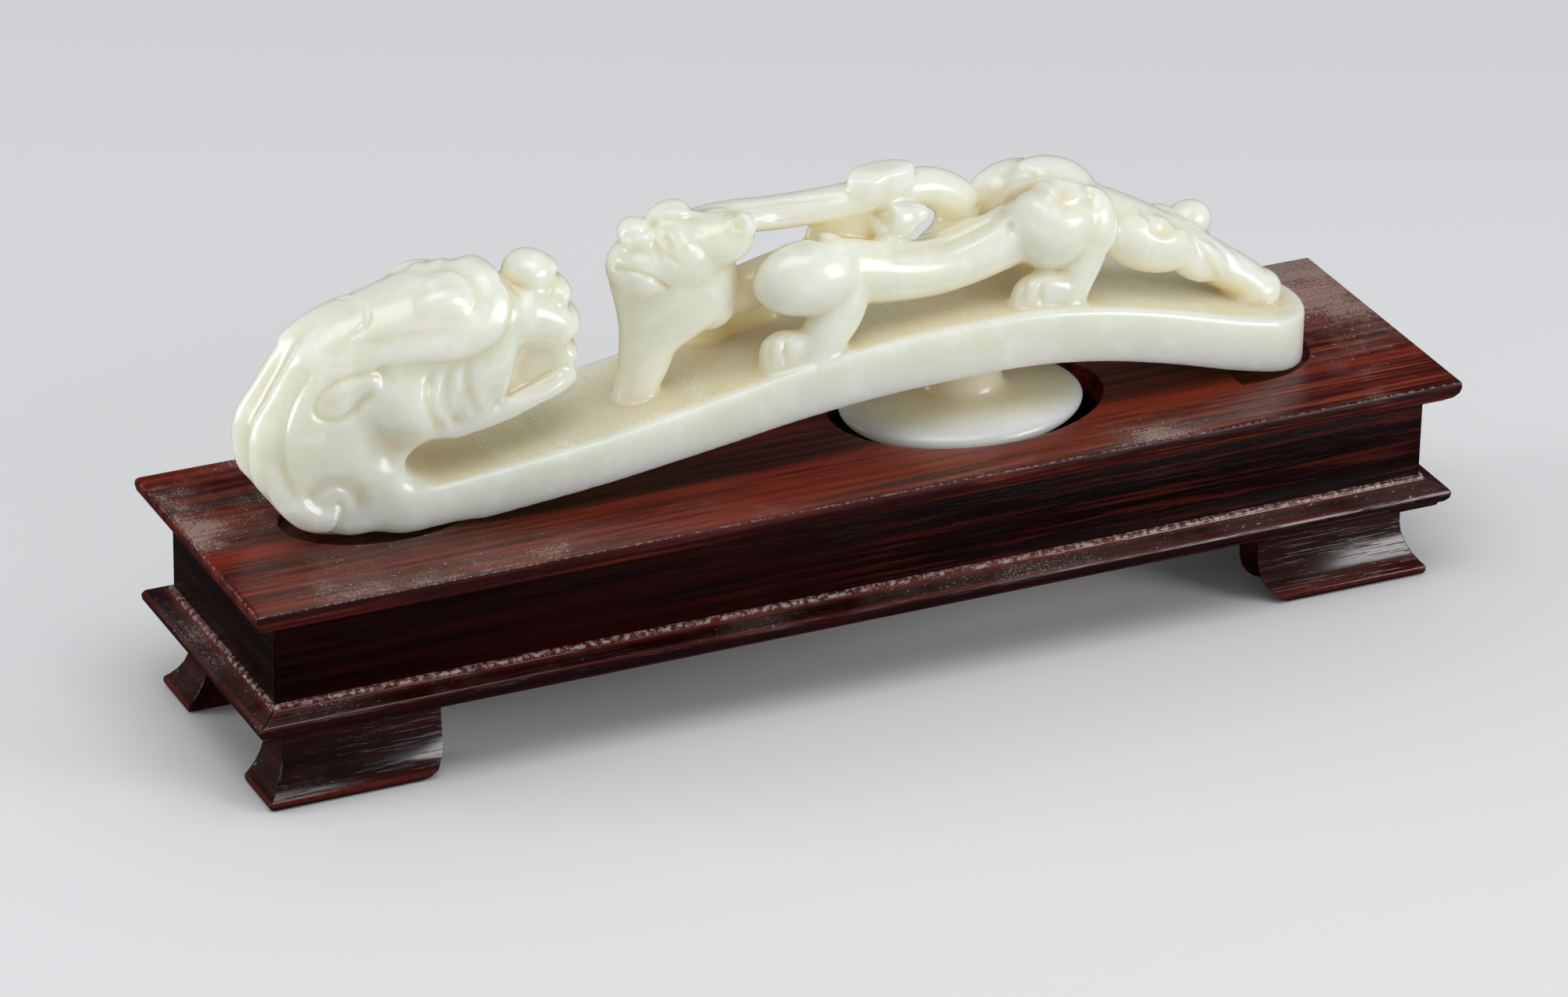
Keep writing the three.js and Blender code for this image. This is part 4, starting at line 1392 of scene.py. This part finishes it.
    def dust(self, stone: Stone, shade: np.ndarray) -> np.ndarray:
        """Where dust lies: on the plate's top, more of it where the carving shelters it.

        Args:
            stone: The carved stone.
            shade: How sheltered each vertex is.

        Returns:
            A share from 0 to 1 for each vertex.
        """
        x, y, z = stone.places.T
        along = np.linspace(self.left, self.left + self.length, 200)
        tops = np.interp(x, along, [self.top(float(at)) for at in along])
        halves = np.interp(x, along, [self.half_width(float(at)) for at in along])
        above = z - self.lift - tops
        on_top = (rise(*self.DUST_LEVEL, stone.normals()[:, 2]) * fall(*self.DUST_ABOVE, above)
                  * rise(*self.DUST_BELOW, above))
        inside = rise(*self.DUST_INSET, halves - np.abs(y))
        return (on_top * inside * rise(*self.DUST_START, x)
                * (0.5 + 0.5 * rise(*self.DUST_SHADE, shade)))

    def thin_out(self, blank: Object, stone: Stone, marks: dict[str, np.ndarray]) -> None:
        """Brings the mesh under its count of triangles and keeps the marks on it.

        Args:
            blank: The carved mesh.
            stone: Its arrays before thinning.
            marks: A value per vertex for each named attribute.
        """
        count = sum(len(f) - 2 for f in stone.faces)
        if count > self.triangles:
            thin = blank.modifiers.new("thin", "DECIMATE")
            thin.ratio = self.triangles / count
            apply_all(blank)
        tree = KDTree(len(stone.places))
        for i, place in enumerate(stone.places):
            tree.insert(place, i)
        tree.balance()
        mesh = blank.data
        nearest = np.array([tree.find(place)[1] for place in read_places(mesh)])
        for name, values in marks.items():
            layer = mesh.attributes.new(name, "FLOAT", "POINT")
            layer.data.foreach_set("value", values[nearest].astype(np.float32))
        LOG.info("thinned to %d triangles", sum(len(p.vertices) - 2 for p in mesh.polygons))


# The stand


@dataclass
class Stand:
    """The hardwood stand: a board over four friezes, four rails and eight feet.

    Attributes:
        nodes: The solid pieces by name.
        ease: How far an edge is eased, in millimetres.
        sharp: The least angle of an edge that is eased, in degrees.
        soft: The greatest angle that is shaded smooth.
        flat: The greatest angle between faces that are merged as one.
        weld: How close corners are when they are merged, in millimetres.
    """

    nodes: dict[str, Object]
    ease: float = 0.16
    sharp: float = 28.0
    soft: float = 32.0
    flat: float = 0.6
    weld: float = 0.002

    SLOTS = (("board", "board_wood"), ("frieze", "frieze_wood"), ("rail", "rail_wood"),
             ("foot", "foot_wood"))

    def copy_of(self, node: str) -> Object:
        """Takes a copy of a solid piece, merges its corners and eases its edges.

        Args:
            node: The solid piece's name.

        Returns:
            The fine copy, which stands for the piece.
        """
        mesh = self.nodes[node].data.copy()
        mesh.materials.clear()
        piece = bpy.data.objects.new(f"{node}_wood", mesh)
        bpy.context.collection.objects.link(piece)
        with editing(piece):
            bpy.ops.mesh.remove_doubles(threshold=self.weld * MM)
            bpy.ops.mesh.dissolve_limited(angle_limit=math.radians(self.flat))
        bevel = piece.modifiers.new("eased edges", "BEVEL")
        bevel.width = self.ease * MM
        bevel.segments = 3
        bevel.limit_method = "ANGLE"
        bevel.angle_limit = math.radians(self.sharp)
        bevel.use_clamp_overlap = True
        bevel.miter_outer = "MITER_ARC"
        apply_all(piece)
        bpy.ops.object.shade_smooth_by_angle(angle=math.radians(self.soft))
        return piece

    def build(self) -> None:
        """Makes every piece of the stand, its grain along the way that it lies."""
        finishes = {(slot, across): WOODS[slot].material(across)
                    for across in (False, True) for _, slot in self.SLOTS}
        for node in self.nodes:
            if node == "belt_hook":
                continue
            slot = next(slot for word, slot in self.SLOTS if word in node)
            piece = self.copy_of(node)
            across = node.startswith(("left", "right")) or node.endswith("short")
            piece.data.materials.append(finishes[slot, across])
            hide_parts(node)
            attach(piece, Body.STAND.value)
            LOG.info("%s: %d faces", piece.name, len(piece.data.polygons))


# Finishes


def linear(tint: Tint) -> tuple[float, float, float, float]:
    """A colour seen on a screen, from 0 to 255 a channel, as light.

    Args:
        tint: The red, green and blue channels.

    Returns:
        The colour as Blender keeps it.
    """
    shares = (channel / 255 for channel in tint)
    return (*(c / 12.92 if c <= 0.04045 else ((c + 0.055) / 1.055) ** 2.4 for c in shares), 1.0)


class Patch(NamedTuple):
    """Cloudy noise that shows softly between two of its levels.

    Attributes:
        scale: How fine it is.
        low: The level at which it starts to show.
        high: The level from which it shows in full.
        detail: How many sizes of noise it adds up.
        rough: How strong the finer ones are.
    """

    scale: float
    low: float
    high: float
    detail: float = 3.0
    rough: float = 0.5


class Wire:
    """What a node puts out. Sums of wires are worked out by nodes."""

    def __init__(self, tree: "Tree", socket: bpy.types.NodeSocket) -> None:
        """Holds the tree that is wired and the node's output."""
        self.tree, self.socket = tree, socket

    def __add__(self, other: "Wire | float") -> "Wire":
        """The sum of two numbers."""
        return self.tree.math("ADD", self, other)

    def __sub__(self, other: "Wire | float") -> "Wire":
        """This number less another."""
        return self.tree.math("SUBTRACT", self, other)

    def __rsub__(self, other: float) -> "Wire":
        """Another number less this one."""
        return self.tree.math("SUBTRACT", other, self)

    def __mul__(self, other: "Wire | float") -> "Wire":
        """The product of two numbers."""
        return self.tree.math("MULTIPLY", self, other)

    __radd__, __rmul__ = __add__, __mul__


class Tree:
    """A node tree that is being wired."""

    def __init__(self, tree: bpy.types.NodeTree) -> None:
        """Holds the material's, the world's or the group's tree."""
        self.tree = tree

    def fill(self, node: bpy.types.Node, values: dict[str | int, object]) -> None:
        """Sets a node's inputs.

        Args:
            node: The node.
            values: For each input, by name or number, its value or the wire that feeds it.
        """
        for key, value in values.items():
            if isinstance(value, Wire):
                self.tree.links.new(value.socket, node.inputs[key])
            else:
                node.inputs[key].default_value = value

    def add(self, kind: str, values: dict | None = None, **settings: object) -> bpy.types.Node:
        """Adds a node.

        Args:
            kind: The node's type, without its ShaderNode prefix.
            values: For each input, its value or the wire that feeds it.
            settings: The node's own options.

        Returns:
            The node.
        """
        node = self.tree.nodes.new(kind if kind.startswith("Node") else f"ShaderNode{kind}")
        for key, value in settings.items():
            setattr(node, key, value)
        self.fill(node, values or {})
        return node

    def read(self, kind: str, output: str | int, values: dict | None = None,
             **settings: object) -> Wire:
        """Adds a node as add does, and gives the wire from one of its outputs."""
        return Wire(self, self.add(kind, values, **settings).outputs[output])

    def math(self, operation: str, *values: Wire | float, clamp: bool = False) -> Wire:
        """A working of one or two numbers."""
        return self.read("Math", 0, dict(enumerate(values)), operation=operation, use_clamp=clamp)

    def ramp(self, value: Wire, low: Wire | float, high: Wire | float) -> Wire:
        """A soft step from 0 at low to 1 at high."""
        return self.read("MapRange", "Result", {"Value": value, "From Min": low, "From Max": high},
                         interpolation_type="SMOOTHSTEP")

    def blend(self, share: Wire, first: Wire | float, second: Wire | float) -> Wire:
        """A mix of two numbers."""
        return self.read("Mix", 0, {0: share, 2: first, 3: second}, data_type="FLOAT")

    def mix(self, share: Wire | float, first: Wire | Tint, second: Tint) -> Wire:
        """A mix of two colours."""
        first = first if isinstance(first, Wire) else linear(first)
        return self.read("Mix", 2, {0: share, 6: first, 7: linear(second)}, data_type="RGBA")

    def noise(self, place: Wire, scale: float | Wire, detail: float = 3.0,
              rough: float = 0.5) -> Wire:
        """Cloudy noise, from 0 to 1."""
        return self.read("TexNoise", "Fac", {"Vector": place, "Scale": scale, "Detail": detail,
                                             "Roughness": rough})

    def patches(self, place: Wire, patch: Patch) -> Wire:
        """Where a patch shows, from 0 to 1."""
        noise = self.noise(place, patch.scale, patch.detail, patch.rough)
        return self.ramp(noise, patch.low, patch.high)

    def bump(self, relief: Wire, strength: float, height: float) -> Wire:
        """Normals that a relief bends, its height in millimetres."""
        return self.read("Bump", "Normal", {"Height": relief, "Strength": strength,
                                            "Distance": height * MM})

    def attribute(self, name: str) -> Wire:
        """A mark that was left on the mesh."""
        return self.read("Attribute", "Fac", attribute_name=name)


Wires = dict[str, Wire]


def shared_group(name: str, inputs: dict[str, float | None],
                 wiring: Callable[[Tree, Wires], Wires]) -> bpy.types.NodeTree:
    """Finds a node group that finishes share, or makes it when it is first asked for.

    Args:
        name: The group's name.
        inputs: Each input's name and value; a vector input's value is None.
        wiring: What wires it: given its tree and its inputs, it gives its outputs by name.

    Returns:
        The group. Its outputs are all numbers.
    """
    if name in bpy.data.node_groups:
        return bpy.data.node_groups[name]
    group = bpy.data.node_groups.new(name, "ShaderNodeTree")
    for key, value in inputs.items():
        kind = "NodeSocketVector" if value is None else "NodeSocketFloat"
        socket = group.interface.new_socket(key, in_out="INPUT", socket_type=kind)
        if value is not None:
            socket.default_value = value
    tree = Tree(group)
    start = tree.add("NodeGroupInput")
    made = wiring(tree, {key: Wire(tree, start.outputs[key]) for key in inputs})
    for key in made:
        group.interface.new_socket(key, in_out="OUTPUT", socket_type="NodeSocketFloat")
    tree.fill(tree.add("NodeGroupOutput"), made)
    return group


# The dust's noise is turned, or its lattice would show on faces square to an axis.
DUST_TURN = (0.6, 0.5, 0.4)


def wire_dust(tree: Tree, inputs: Wires) -> Wires:
    """Wires dust: a fine grain that shows through where its cover is thick.

    Args:
        tree: The group's tree.
        inputs: Vector, Scale and Cover.

    Returns:
        Mask.
    """
    turned = tree.read("Mapping", "Vector", {"Vector": inputs["Vector"],
                                             "Rotation": DUST_TURN})
    level = (tree.noise(turned, inputs["Scale"], rough=0.65)
             + 0.45 * tree.noise(turned, 110.0))
    need = 1.12 - 0.62 * inputs["Cover"]
    return {"Mask": tree.ramp(level, need - 0.12, need + 0.06)}


def wire_grain(tree: Tree, inputs: Wires) -> Wires:
    """Wires wood grain along one direction: broad dark bands and fine pores.

    Args:
        tree: The group's tree.
        inputs: Vector, the point drawn out along the grain.

    Returns:
        Bands, Streaks and Pores.
    """
    vector = inputs["Vector"]
    streak = tree.noise(vector, 3.1, 4.0, 0.7)
    both = 0.62 * tree.noise(vector, 1.0, 5.0, 0.62) + 0.38 * streak
    return {"Bands": tree.ramp(both, 0.4, 0.6), "Streaks": tree.ramp(streak, 0.52, 0.62),
            "Pores": tree.patches(vector, Patch(9.0, 0.56, 0.66, 3.0, 0.6))}


def wire_profile(tree: Tree, inputs: Wires) -> Wires:
    """Wires where a point lies on the stand's mouldings, in millimetres.

    Args:
        tree: The group's tree.
        inputs: None are needed.

    Returns:
        Inset, the way in from the board's edge; Height; and End, the way in from its
        nearer end.
    """
    spot = tree.add("SeparateXYZ", {0: tree.read("TexCoord", "Object")})
    x, y, z = (Wire(tree, output) for output in spot.outputs)
    from_end = HALF_LENGTH - tree.math("ABSOLUTE", x)
    from_side = HALF_DEPTH - tree.math("ABSOLUTE", y)
    return {"Inset": tree.math("MINIMUM", from_end, from_side) * (1 / MM),
            "Height": z * (1 / MM), "End": from_end * (1 / MM)}


def dusting(tree: Tree, place: Wire, scale: float, cover: Wire) -> Wire:
    """The mask of the dust that has settled on a finish.

    Args:
        tree: The material's tree.
        place: The point on the piece.
        scale: How fine the dust is.
        cover: How thick it lies, from 0 to 1.

    Returns:
        A share from 0 to 1.
    """
    group = shared_group("settled_dust", {"Vector": None, "Scale": 900.0, "Cover": 0.5},
                         wire_dust)
    return tree.read("Group", "Mask", {"Vector": place, "Scale": scale, "Cover": cover},
                     node_tree=group)


def new_material(name: str) -> tuple[bpy.types.Material, Tree, bpy.types.Node]:
    """Starts a material.

    Args:
        name: The material's name.

    Returns:
        The material, its tree and its principled shader.
    """
    material = bpy.data.materials.new(name)
    material.use_nodes = True
    tree = Tree(material.node_tree)
    return material, tree, material.node_tree.nodes["Principled BSDF"]


@dataclass(frozen=True)
class Jade:
    """Pale nephrite, waxy and translucent, with a warm glow painted on as shade where it is
    sheltered.

    Attributes:
        stone: The stone's colour.
        cloud: Its broad clouds.
        milk: Its milky patches.
        shade_glow: The painted shade: a warm glow laid on sheltered places, for light scattered
            through the stone there.
        warm: The stain in hollows and cut lines.
        sand: The dust on the plate's top.
        speck: The dark specks in that dust.
        clouds, milky, specks: Where these are.
        uneven: How fine the unevenness of the painted glow and of the stain is, and the glow's
            least share.
        sheltered: From how much shelter the painted glow starts, and from how much it is full.
        stained: The same for the stain, by the unevenness.
        dusty: The same for the dust, by its cover.
        grit: How fine the dust is.
        milk_share, stain_share, dust_share: How strongly these show at most.
        polish: The least roughness. The most, polish and wax, is kept under 0.27, because
            the denoiser draws a hard edge where the roughness crosses that value.
        wax, wax_scale: How far the roughness varies, and how finely.
        relief: How fine the surface's unevenness is, and its share beside the dust's.
        bump: How strong the relief is, and how high in millimetres.
        dull: The dust's roughness.
        film: How much of the dust lies as an even film.
        index: The index of refraction.
        depth: How deep light goes in, in metres.
        reds: How deep each colour of it goes, as a share.
    """

    stone: Tint = (232, 234, 222)
    cloud: Tint = (222, 227, 208)
    milk: Tint = (243, 243, 235)
    shade_glow: Tint = (236, 223, 188)
    warm: Tint = (220, 201, 164)
    sand: Tint = (222, 212, 178)
    speck: Tint = (110, 90, 62)
    clouds: Patch = Patch(60.0, 0.2, 0.8, 2.0)
    milky: Patch = Patch(300.0, 0.44, 0.72, 4.0, 0.6)
    specks: Patch = Patch(1500.0, 0.735, 0.78, 2.0)
    uneven: Pair = (150.0, 0.6)
    sheltered: Pair = (0.08, 0.75)
    stained: Pair = (0.2, 0.55)
    dusty: Pair = (0.05, 0.4)
    grit: float = 2600.0
    milk_share: float = 0.6
    stain_share: float = 0.6
    dust_share: float = 0.9
    polish: float = 0.195
    wax: float = 0.07
    wax_scale: float = 240.0
    relief: Pair = (700.0, 0.2)
    bump: Pair = (0.25, 0.06)
    dull: float = 0.65
    film: float = 0.34
    index: float = 1.61
    depth: float = 0.007
    reds: Point = (1.0, 0.88, 0.62)

    def material(self) -> bpy.types.Material:
        """Wires the stone's nodes.

        Returns:
            The material.
        """
        material, tree, shader = new_material("pale_jade")
        place = tree.read("TexCoord", "Object")
        colour = tree.mix(tree.patches(place, self.clouds), self.stone, self.cloud)
        milky = self.milk_share * tree.patches(place, self.milky)
        colour = tree.mix(milky, colour, self.milk)
        scale, least = self.uneven
        uneven = tree.noise(place, scale)
        # Painted shade: sheltered places are tinted warm, standing for light that glows through the
        # stone in shade.
        deep = tree.ramp(tree.attribute("shade"), *self.sheltered) * (
            least + (1 - least) * uneven)
        colour = tree.mix(deep, colour, self.shade_glow)
        stain = tree.attribute("hollow") * tree.ramp(uneven, *self.stained)
        colour = tree.mix(self.stain_share * stain, colour, self.warm)
        cover = tree.attribute("dust")
        mask = dusting(tree, place, self.grit, cover)
        sandy = tree.math("MAXIMUM", self.dust_share * mask, self.film * cover)
        sandy = sandy * tree.ramp(cover, *self.dusty)
        colour = tree.mix(sandy, colour, self.sand)
        colour = tree.mix(tree.patches(place, self.specks) * cover, colour, self.speck)
        waxy = tree.read("MapRange", "Result", {
            "Value": tree.noise(place, self.wax_scale), "To Min": self.polish,
            "To Max": self.polish + self.wax})
        scale, share = self.relief
        relief = share * tree.noise(place, scale) + mask * cover
        tree.fill(shader, {
            "Base Color": colour, "Roughness": tree.blend(sandy, waxy, self.dull),
            "Normal": tree.bump(relief, *self.bump),
            "IOR": self.index, "Subsurface Weight": 1.0, "Subsurface Radius": self.reds,
            "Subsurface Scale": self.depth})
        return material


class Band(NamedTuple):
    """A moulding's proud line, which wears first; on some arrises a pale painted highlight lies
    along it.

    Attributes:
        inset: How far in from the board's edge it is, in millimetres.
        height: How high it is.
        reach: How far off it the wear goes.
        bare_and_highlight: How much of the pale tint lies on it, from 0 to 1: worn-through wood,
            and on some arrises a painted highlight.
    """

    inset: float
    height: float
    reach: float
    bare_and_highlight: float = 0.0


@dataclass(frozen=True)
class Hardwood:
    """Dark polished hardwood with streaks, worn arrises and settled dust, and a pale painted
    highlight along some arrises.

    Attributes:
        name: The finish's name.
        dark: The wood between its streaks.
        middle: The wood in its streaks.
        streak: The brightest streaks, where the polish is thin.
        streaks: How strongly these show.
        worn: The wood where the polish is rubbed.
        raw_and_highlight: The pale tint on worn arrises: worn-through wood, and on the board and
            the rail partly a painted highlight.
        bands: The arrises that are worn.
        polish: The least roughness.
        dust: How much dust lies on level faces.
        film: How much of that lies on faces that slope.
        rim: How far in from the board's edge the dust lies heavy, in millimetres.
        grey: The dust's colour.
        gloss: How strongly the polish reflects, at its index of refraction.
        dust_share, haze: How strongly the dust shows at most, and as an even haze.
        pore_share: How strongly the pores show.
        roughness: How fine the roughness varies and how far, and what pores and dust add.
        band_relief: How high the bands stand beside how deep the pores are.
        bump: How strong this relief is, and how high in millimetres.
        grit: How fine the dust is.
        along: How fine the grain is along the piece, across it and in height.
        level: How much a face looks up where dust starts to lie on it, and lies in full.
        slope: The same for the film on faces that slope.
        ends: How far in from the board's ends the dust lies heavy, and stops.
        dusty, flecked: The cover at which dust and its bigger flecks start to show, and
            show in full.
        zones, rubbing, nicks: Where the bright streaks are, where the arrises are worn most,
        and where the pale tint of wear and painted highlight shows on them.
        drifts, fibres, flecks: Where dust lies thick, how it follows the grain, and where
            its bigger flecks are.
    """

    name: str
    dark: Tint
    middle: Tint
    streak: Tint = (96, 38, 20)
    streaks: float = 0.5
    worn: Tint = (84, 24, 18)
    raw_and_highlight: Tint = (150, 98, 78)
    bands: tuple[Band, ...] = ()
    polish: float = 0.29
    dust: float = 0.4
    film: float = 0.0
    rim: float = 8.0
    grey: Tint = (160, 142, 132)
    gloss: float = 0.3
    index: float = 1.5
    dust_share: float = 0.7
    haze: float = 0.26
    pore_share: float = 0.7
    roughness: tuple[float, float, float, float] = (420.0, 0.1, 0.06, 0.6)
    band_relief: float = 0.2
    bump: Pair = (0.4, 0.05)
    grit: float = 4300.0
    along: Point = (14.0, 430.0, 560.0)
    level: Pair = (0.55, 0.95)
    slope: Pair = (0.1, 0.5)
    ends: Pair = (6.0, 30.0)
    dusty: Pair = (0.02, 0.3)
    flecked: Pair = (0.05, 0.35)
    zones: Patch = Patch(24.0, 0.4, 0.62)
    rubbing: Patch = Patch(60.0, 0.36, 0.64, 4.0, 0.6)
    nicks: Patch = Patch(1500.0, 0.46, 0.6, 4.0, 0.7)
    drifts: Patch = Patch(52.0, 0.36, 0.66, 4.0, 0.62)
    fibres: Patch = Patch(5.0, 0.3, 0.7, 4.0, 0.7)
    flecks: Patch = Patch(1700.0, 0.68, 0.72, 2.0)

    def wear(self, tree: Tree, place: Wire, profile: Wires) -> tuple[Wire, Wire]:
        """Where the polish is rubbed thin, and where the pale tint lies: worn through, and on some
        arrises a painted highlight.

        Args:
            tree: The material's tree.
            place: The point on the piece.
            profile: Where the point lies on the mouldings.

        Returns:
            The rubbed share, and the share of the pale tint of wear and painted highlight.
        """
        rubbed, raw_and_highlight = 0.0, 0.0
        for band in self.bands:
            side, height = profile["Inset"] - band.inset, profile["Height"] - band.height
            gap = tree.math("SQRT", side * side + height * height)
            near = 1.0 - tree.ramp(gap, band.reach * 0.4, band.reach)
            line = 1.0 - tree.ramp(gap, band.reach * 0.2, band.reach * 0.5)
            rubbed = tree.math("MAXIMUM", rubbed, near)
            # The pale tint along a band: wear, and on the board's and the rail's arrises partly a
            # painted highlight.
            raw_and_highlight = tree.math("MAXIMUM", raw_and_highlight, line * band.bare_and_highlight)
        uneven = 0.35 + 0.65 * tree.patches(place, self.rubbing)
        return rubbed * uneven, raw_and_highlight * tree.patches(place, self.nicks)

    def cover(self, tree: Tree, place: Wire, grain: Wire, profile: Wires) -> Wire:
        """How thick the dust lies: most at the ends and the rim, on faces that look up.

        Args:
            tree: The material's tree.
            place: The point on the piece.
            grain: The point, drawn out along the grain.
            profile: Where the point lies on the mouldings.

        Returns:
            A share from 0 to 1.
        """
        up = tree.read("SeparateXYZ", "Z", {0: tree.read("NewGeometry", "Normal")})
        level = tree.math("MAXIMUM", tree.ramp(up, *self.level),
                          self.film * tree.ramp(up, *self.slope))
        edge = 1.0 - tree.ramp(profile["Inset"], 1.0, self.rim)
        end = 1.0 - tree.ramp(profile["End"], *self.ends)
        fibrous = 0.7 + 0.3 * tree.patches(grain, self.fibres)
        amount = (0.24 + tree.math("MAXIMUM", 0.75 * edge, end)) * (
            tree.patches(place, self.drifts) * fibrous)
        return tree.math("MULTIPLY", level, self.dust * amount, clamp=True)

    def material(self, across: bool) -> bpy.types.Material:
        """Wires the wood's nodes.

        Args:
            across: The piece lies along Y, and so does its grain.

        Returns:
            The material.
        """
        material, tree, shader = new_material(f"{self.name}_{'side' if across else 'long'}")
        place = tree.read("TexCoord", "Object")
        x, y, z = self.along
        grain = tree.read("Mapping", "Vector", {"Vector": place,
                                                "Scale": (y, x, z) if across else self.along})
        figure = tree.add("Group", {"Vector": grain}, node_tree=shared_group(
            "wood_grain", {"Vector": None}, wire_grain))
        bands, streaks, pores = (Wire(tree, output) for output in figure.outputs)
        profile = tree.add("Group", node_tree=shared_group("stand_profile", {}, wire_profile))
        profile = {output.name: Wire(tree, output) for output in profile.outputs}
        rubbed, raw_and_highlight = self.wear(tree, place, profile)
        cover = self.cover(tree, place, grain, profile)
        grey = tree.math("MAXIMUM", self.dust_share * dusting(tree, place, self.grit, cover),
                         self.haze * cover)
        grey = tree.math("MAXIMUM", grey * tree.ramp(cover, *self.dusty),
                         tree.patches(place, self.flecks) * tree.ramp(cover, *self.flecked))
        colour = tree.mix(bands, self.dark, self.middle)
        # The pale tint from wear() is partly a painted highlight along the board's and the rail's
        # arrises.
        for share, tint in ((streaks * (tree.patches(place, self.zones) * self.streaks),
                             self.streak), (self.pore_share * pores, self.dark),
                            (rubbed, self.worn), (raw_and_highlight, self.raw_and_highlight), (grey, self.grey)):
            colour = tree.mix(share, colour, tint)
        scale, uneven, porous, dusty = self.roughness
        rough = uneven * tree.noise(place, scale) + (self.polish + porous * pores)
        tree.fill(shader, {
            "Base Color": colour,
            "Roughness": tree.math("ADD", rough, dusty * grey, clamp=True),
            "Normal": tree.bump(self.band_relief * bands - pores, *self.bump),
            "IOR": self.index, "Specular IOR Level": self.gloss})
        return material


WOODS = {wood.name: wood for wood in (
    # Board: its pale tint on the top arris is partly wear and partly a painted highlight along that
    # arris.
    Hardwood("board_wood", (46, 8, 5), (124, 38, 22), streak=(158, 72, 46), streaks=0.6,
             worn=(44, 4, 6), raw_and_highlight=(190, 160, 148),
             bands=(Band(0.05, 24.05, 0.4, 0.6), Band(0.0, 23.1, 0.9)), dust=0.72, gloss=0.35),
    Hardwood("frieze_wood", (14, 1, 1), (38, 4, 3), streak=(92, 26, 14), streaks=0.45,
             dust=0.3, gloss=0.12),
    # Rail: its pale grey tint is partly wear and partly a painted highlight, mostly along the arris
    # at the frieze's foot.
    Hardwood("rail_wood", (24, 4, 5), (52, 9, 8), streaks=0.25, worn=(96, 36, 24),
             raw_and_highlight=(184, 174, 172), bands=(Band(2.7, 12.0, 1.0, 0.75), Band(0.2, 11.2, 0.7, 0.25)),
             polish=0.09, dust=0.46, film=0.6, gloss=0.5),
    Hardwood("foot_wood", (26, 4, 4), (58, 12, 10), streaks=0.25,
             bands=(Band(2.05, 0.9, 0.5, 0.1),), polish=0.11, dust=0.42, film=0.5, gloss=0.65),
)}


@dataclass
class Studio:
    """A pale floor, a pale surround and soft lights.

    Attributes:
        view: The photograph's camera.
        floor_size: The floor's sides, in millimetres.
        floor_tint: The floor's colour.
        dim_tint: Its colour in reflections, where the photograph has a black ground.
        surround: The colour of the light from all round.
        strengths: The surround's strength on the object, in reflections and in the camera.
        far: How far off the lamps are, in millimetres.
        softbox: A side lamp's width and height, and its power in watts.
        overhead: The same for the lamp above.
    """

    view: PhotoView = field(default_factory=PhotoView)
    floor_size: float = 6000.0
    floor_tint: Tint = (236, 236, 236)
    dim_tint: Tint = (56, 56, 58)
    surround: tuple[float, float, float, float] = (0.92, 0.94, 1.0, 1.0)
    strengths: Point = (0.42, 0.05, 0.8)
    far: float = 620.0
    softbox: Point = (240.0, 300.0, 1.5)
    overhead: Point = (500.0, 400.0, 1.6)

    # Where the side lamps are, to the camera's right, up and back, and the lamp above.
    SIDES = (("left_softbox", (-0.97, 0.13, 0.19)), ("right_softbox", (0.91, 0.05, 0.41)))
    ABOVE = (-0.1, -0.25, 1.0)

    def lamp(self, name: str, way: Vector, sizes: Point) -> None:
        """Adds a soft rectangular lamp that faces the object.

        Args:
            name: The lamp's name.
            way: The direction from the object to the lamp.
            sizes: Its width and height in millimetres, and its power in watts.
        """
        deselect()
        way = way.normalized()
        target = Vector(self.view.target)
        bpy.ops.object.light_add(type="AREA", location=(target + way * self.far) * MM)
        lamp = bpy.context.object
        lamp.name = name
        lamp.rotation_mode = "QUATERNION"
        lamp.rotation_quaternion = (-way).to_track_quat("-Z", "Y")
        lamp.data.shape = "RECTANGLE"
        lamp.data.size, lamp.data.size_y = sizes[0] * MM, sizes[1] * MM
        lamp.data.energy = sizes[2]

    def ground(self) -> None:
        """Adds the floor, darker where it is seen in a reflection."""
        deselect()
        bpy.ops.mesh.primitive_plane_add(size=self.floor_size * MM)
        floor = bpy.context.object
        floor.name = "floor"
        material, tree, shader = new_material("pale_floor")
        seen = tree.read("LightPath", "Is Glossy Ray")
        tree.fill(shader, {"Base Color": tree.mix(seen, self.floor_tint, self.dim_tint),
                           "Roughness": 0.75})
        floor.data.materials.append(material)

    def sky(self) -> None:
        """Adds the pale surround."""
        world = bpy.data.worlds.new("surround")
        bpy.context.scene.world = world
        world.use_nodes = True
        tree = Tree(world.node_tree)
        lit, mirrored, seen = self.strengths
        strength = tree.blend(tree.read("LightPath", "Is Glossy Ray"), lit, mirrored)
        strength = tree.blend(tree.read("LightPath", "Is Camera Ray"), strength, seen)
        tree.fill(world.node_tree.nodes["Background"], {"Color": self.surround,
                                                        "Strength": strength})

    def build(self) -> None:
        """Adds the floor, the surround, the lamps and the camera."""
        self.ground()
        self.sky()
        right, up, back = self.view.axes()
        for name, (across, high, near) in self.SIDES:
            self.lamp(name, right * across + up * high + back * near, self.softbox)
        self.lamp("overhead_fill", Vector(self.ABOVE), self.overhead)
        self.view.build()


def main(frame: dict) -> None:
    """Builds the object round the frame, then its studio.
    """
    logging.basicConfig(level=logging.INFO, format="%(message)s")
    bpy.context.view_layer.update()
    Studio().build()
    bpy.context.scene.view_settings.view_transform = "Standard"
    Stand(nodes=frame["nodes"]).build()
    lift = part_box("top_board")[1].z / MM
    hook = JadeHook(lift=lift).build()
    hook.data.materials.clear()
    hook.data.materials.append(Jade().material())
    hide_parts("belt_hook")
    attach(hook, Body.HOOK.value)
    LOG.info("%s: %d faces", hook.name, len(hook.data.polygons))


if __name__ == "__main__":
    main(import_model())
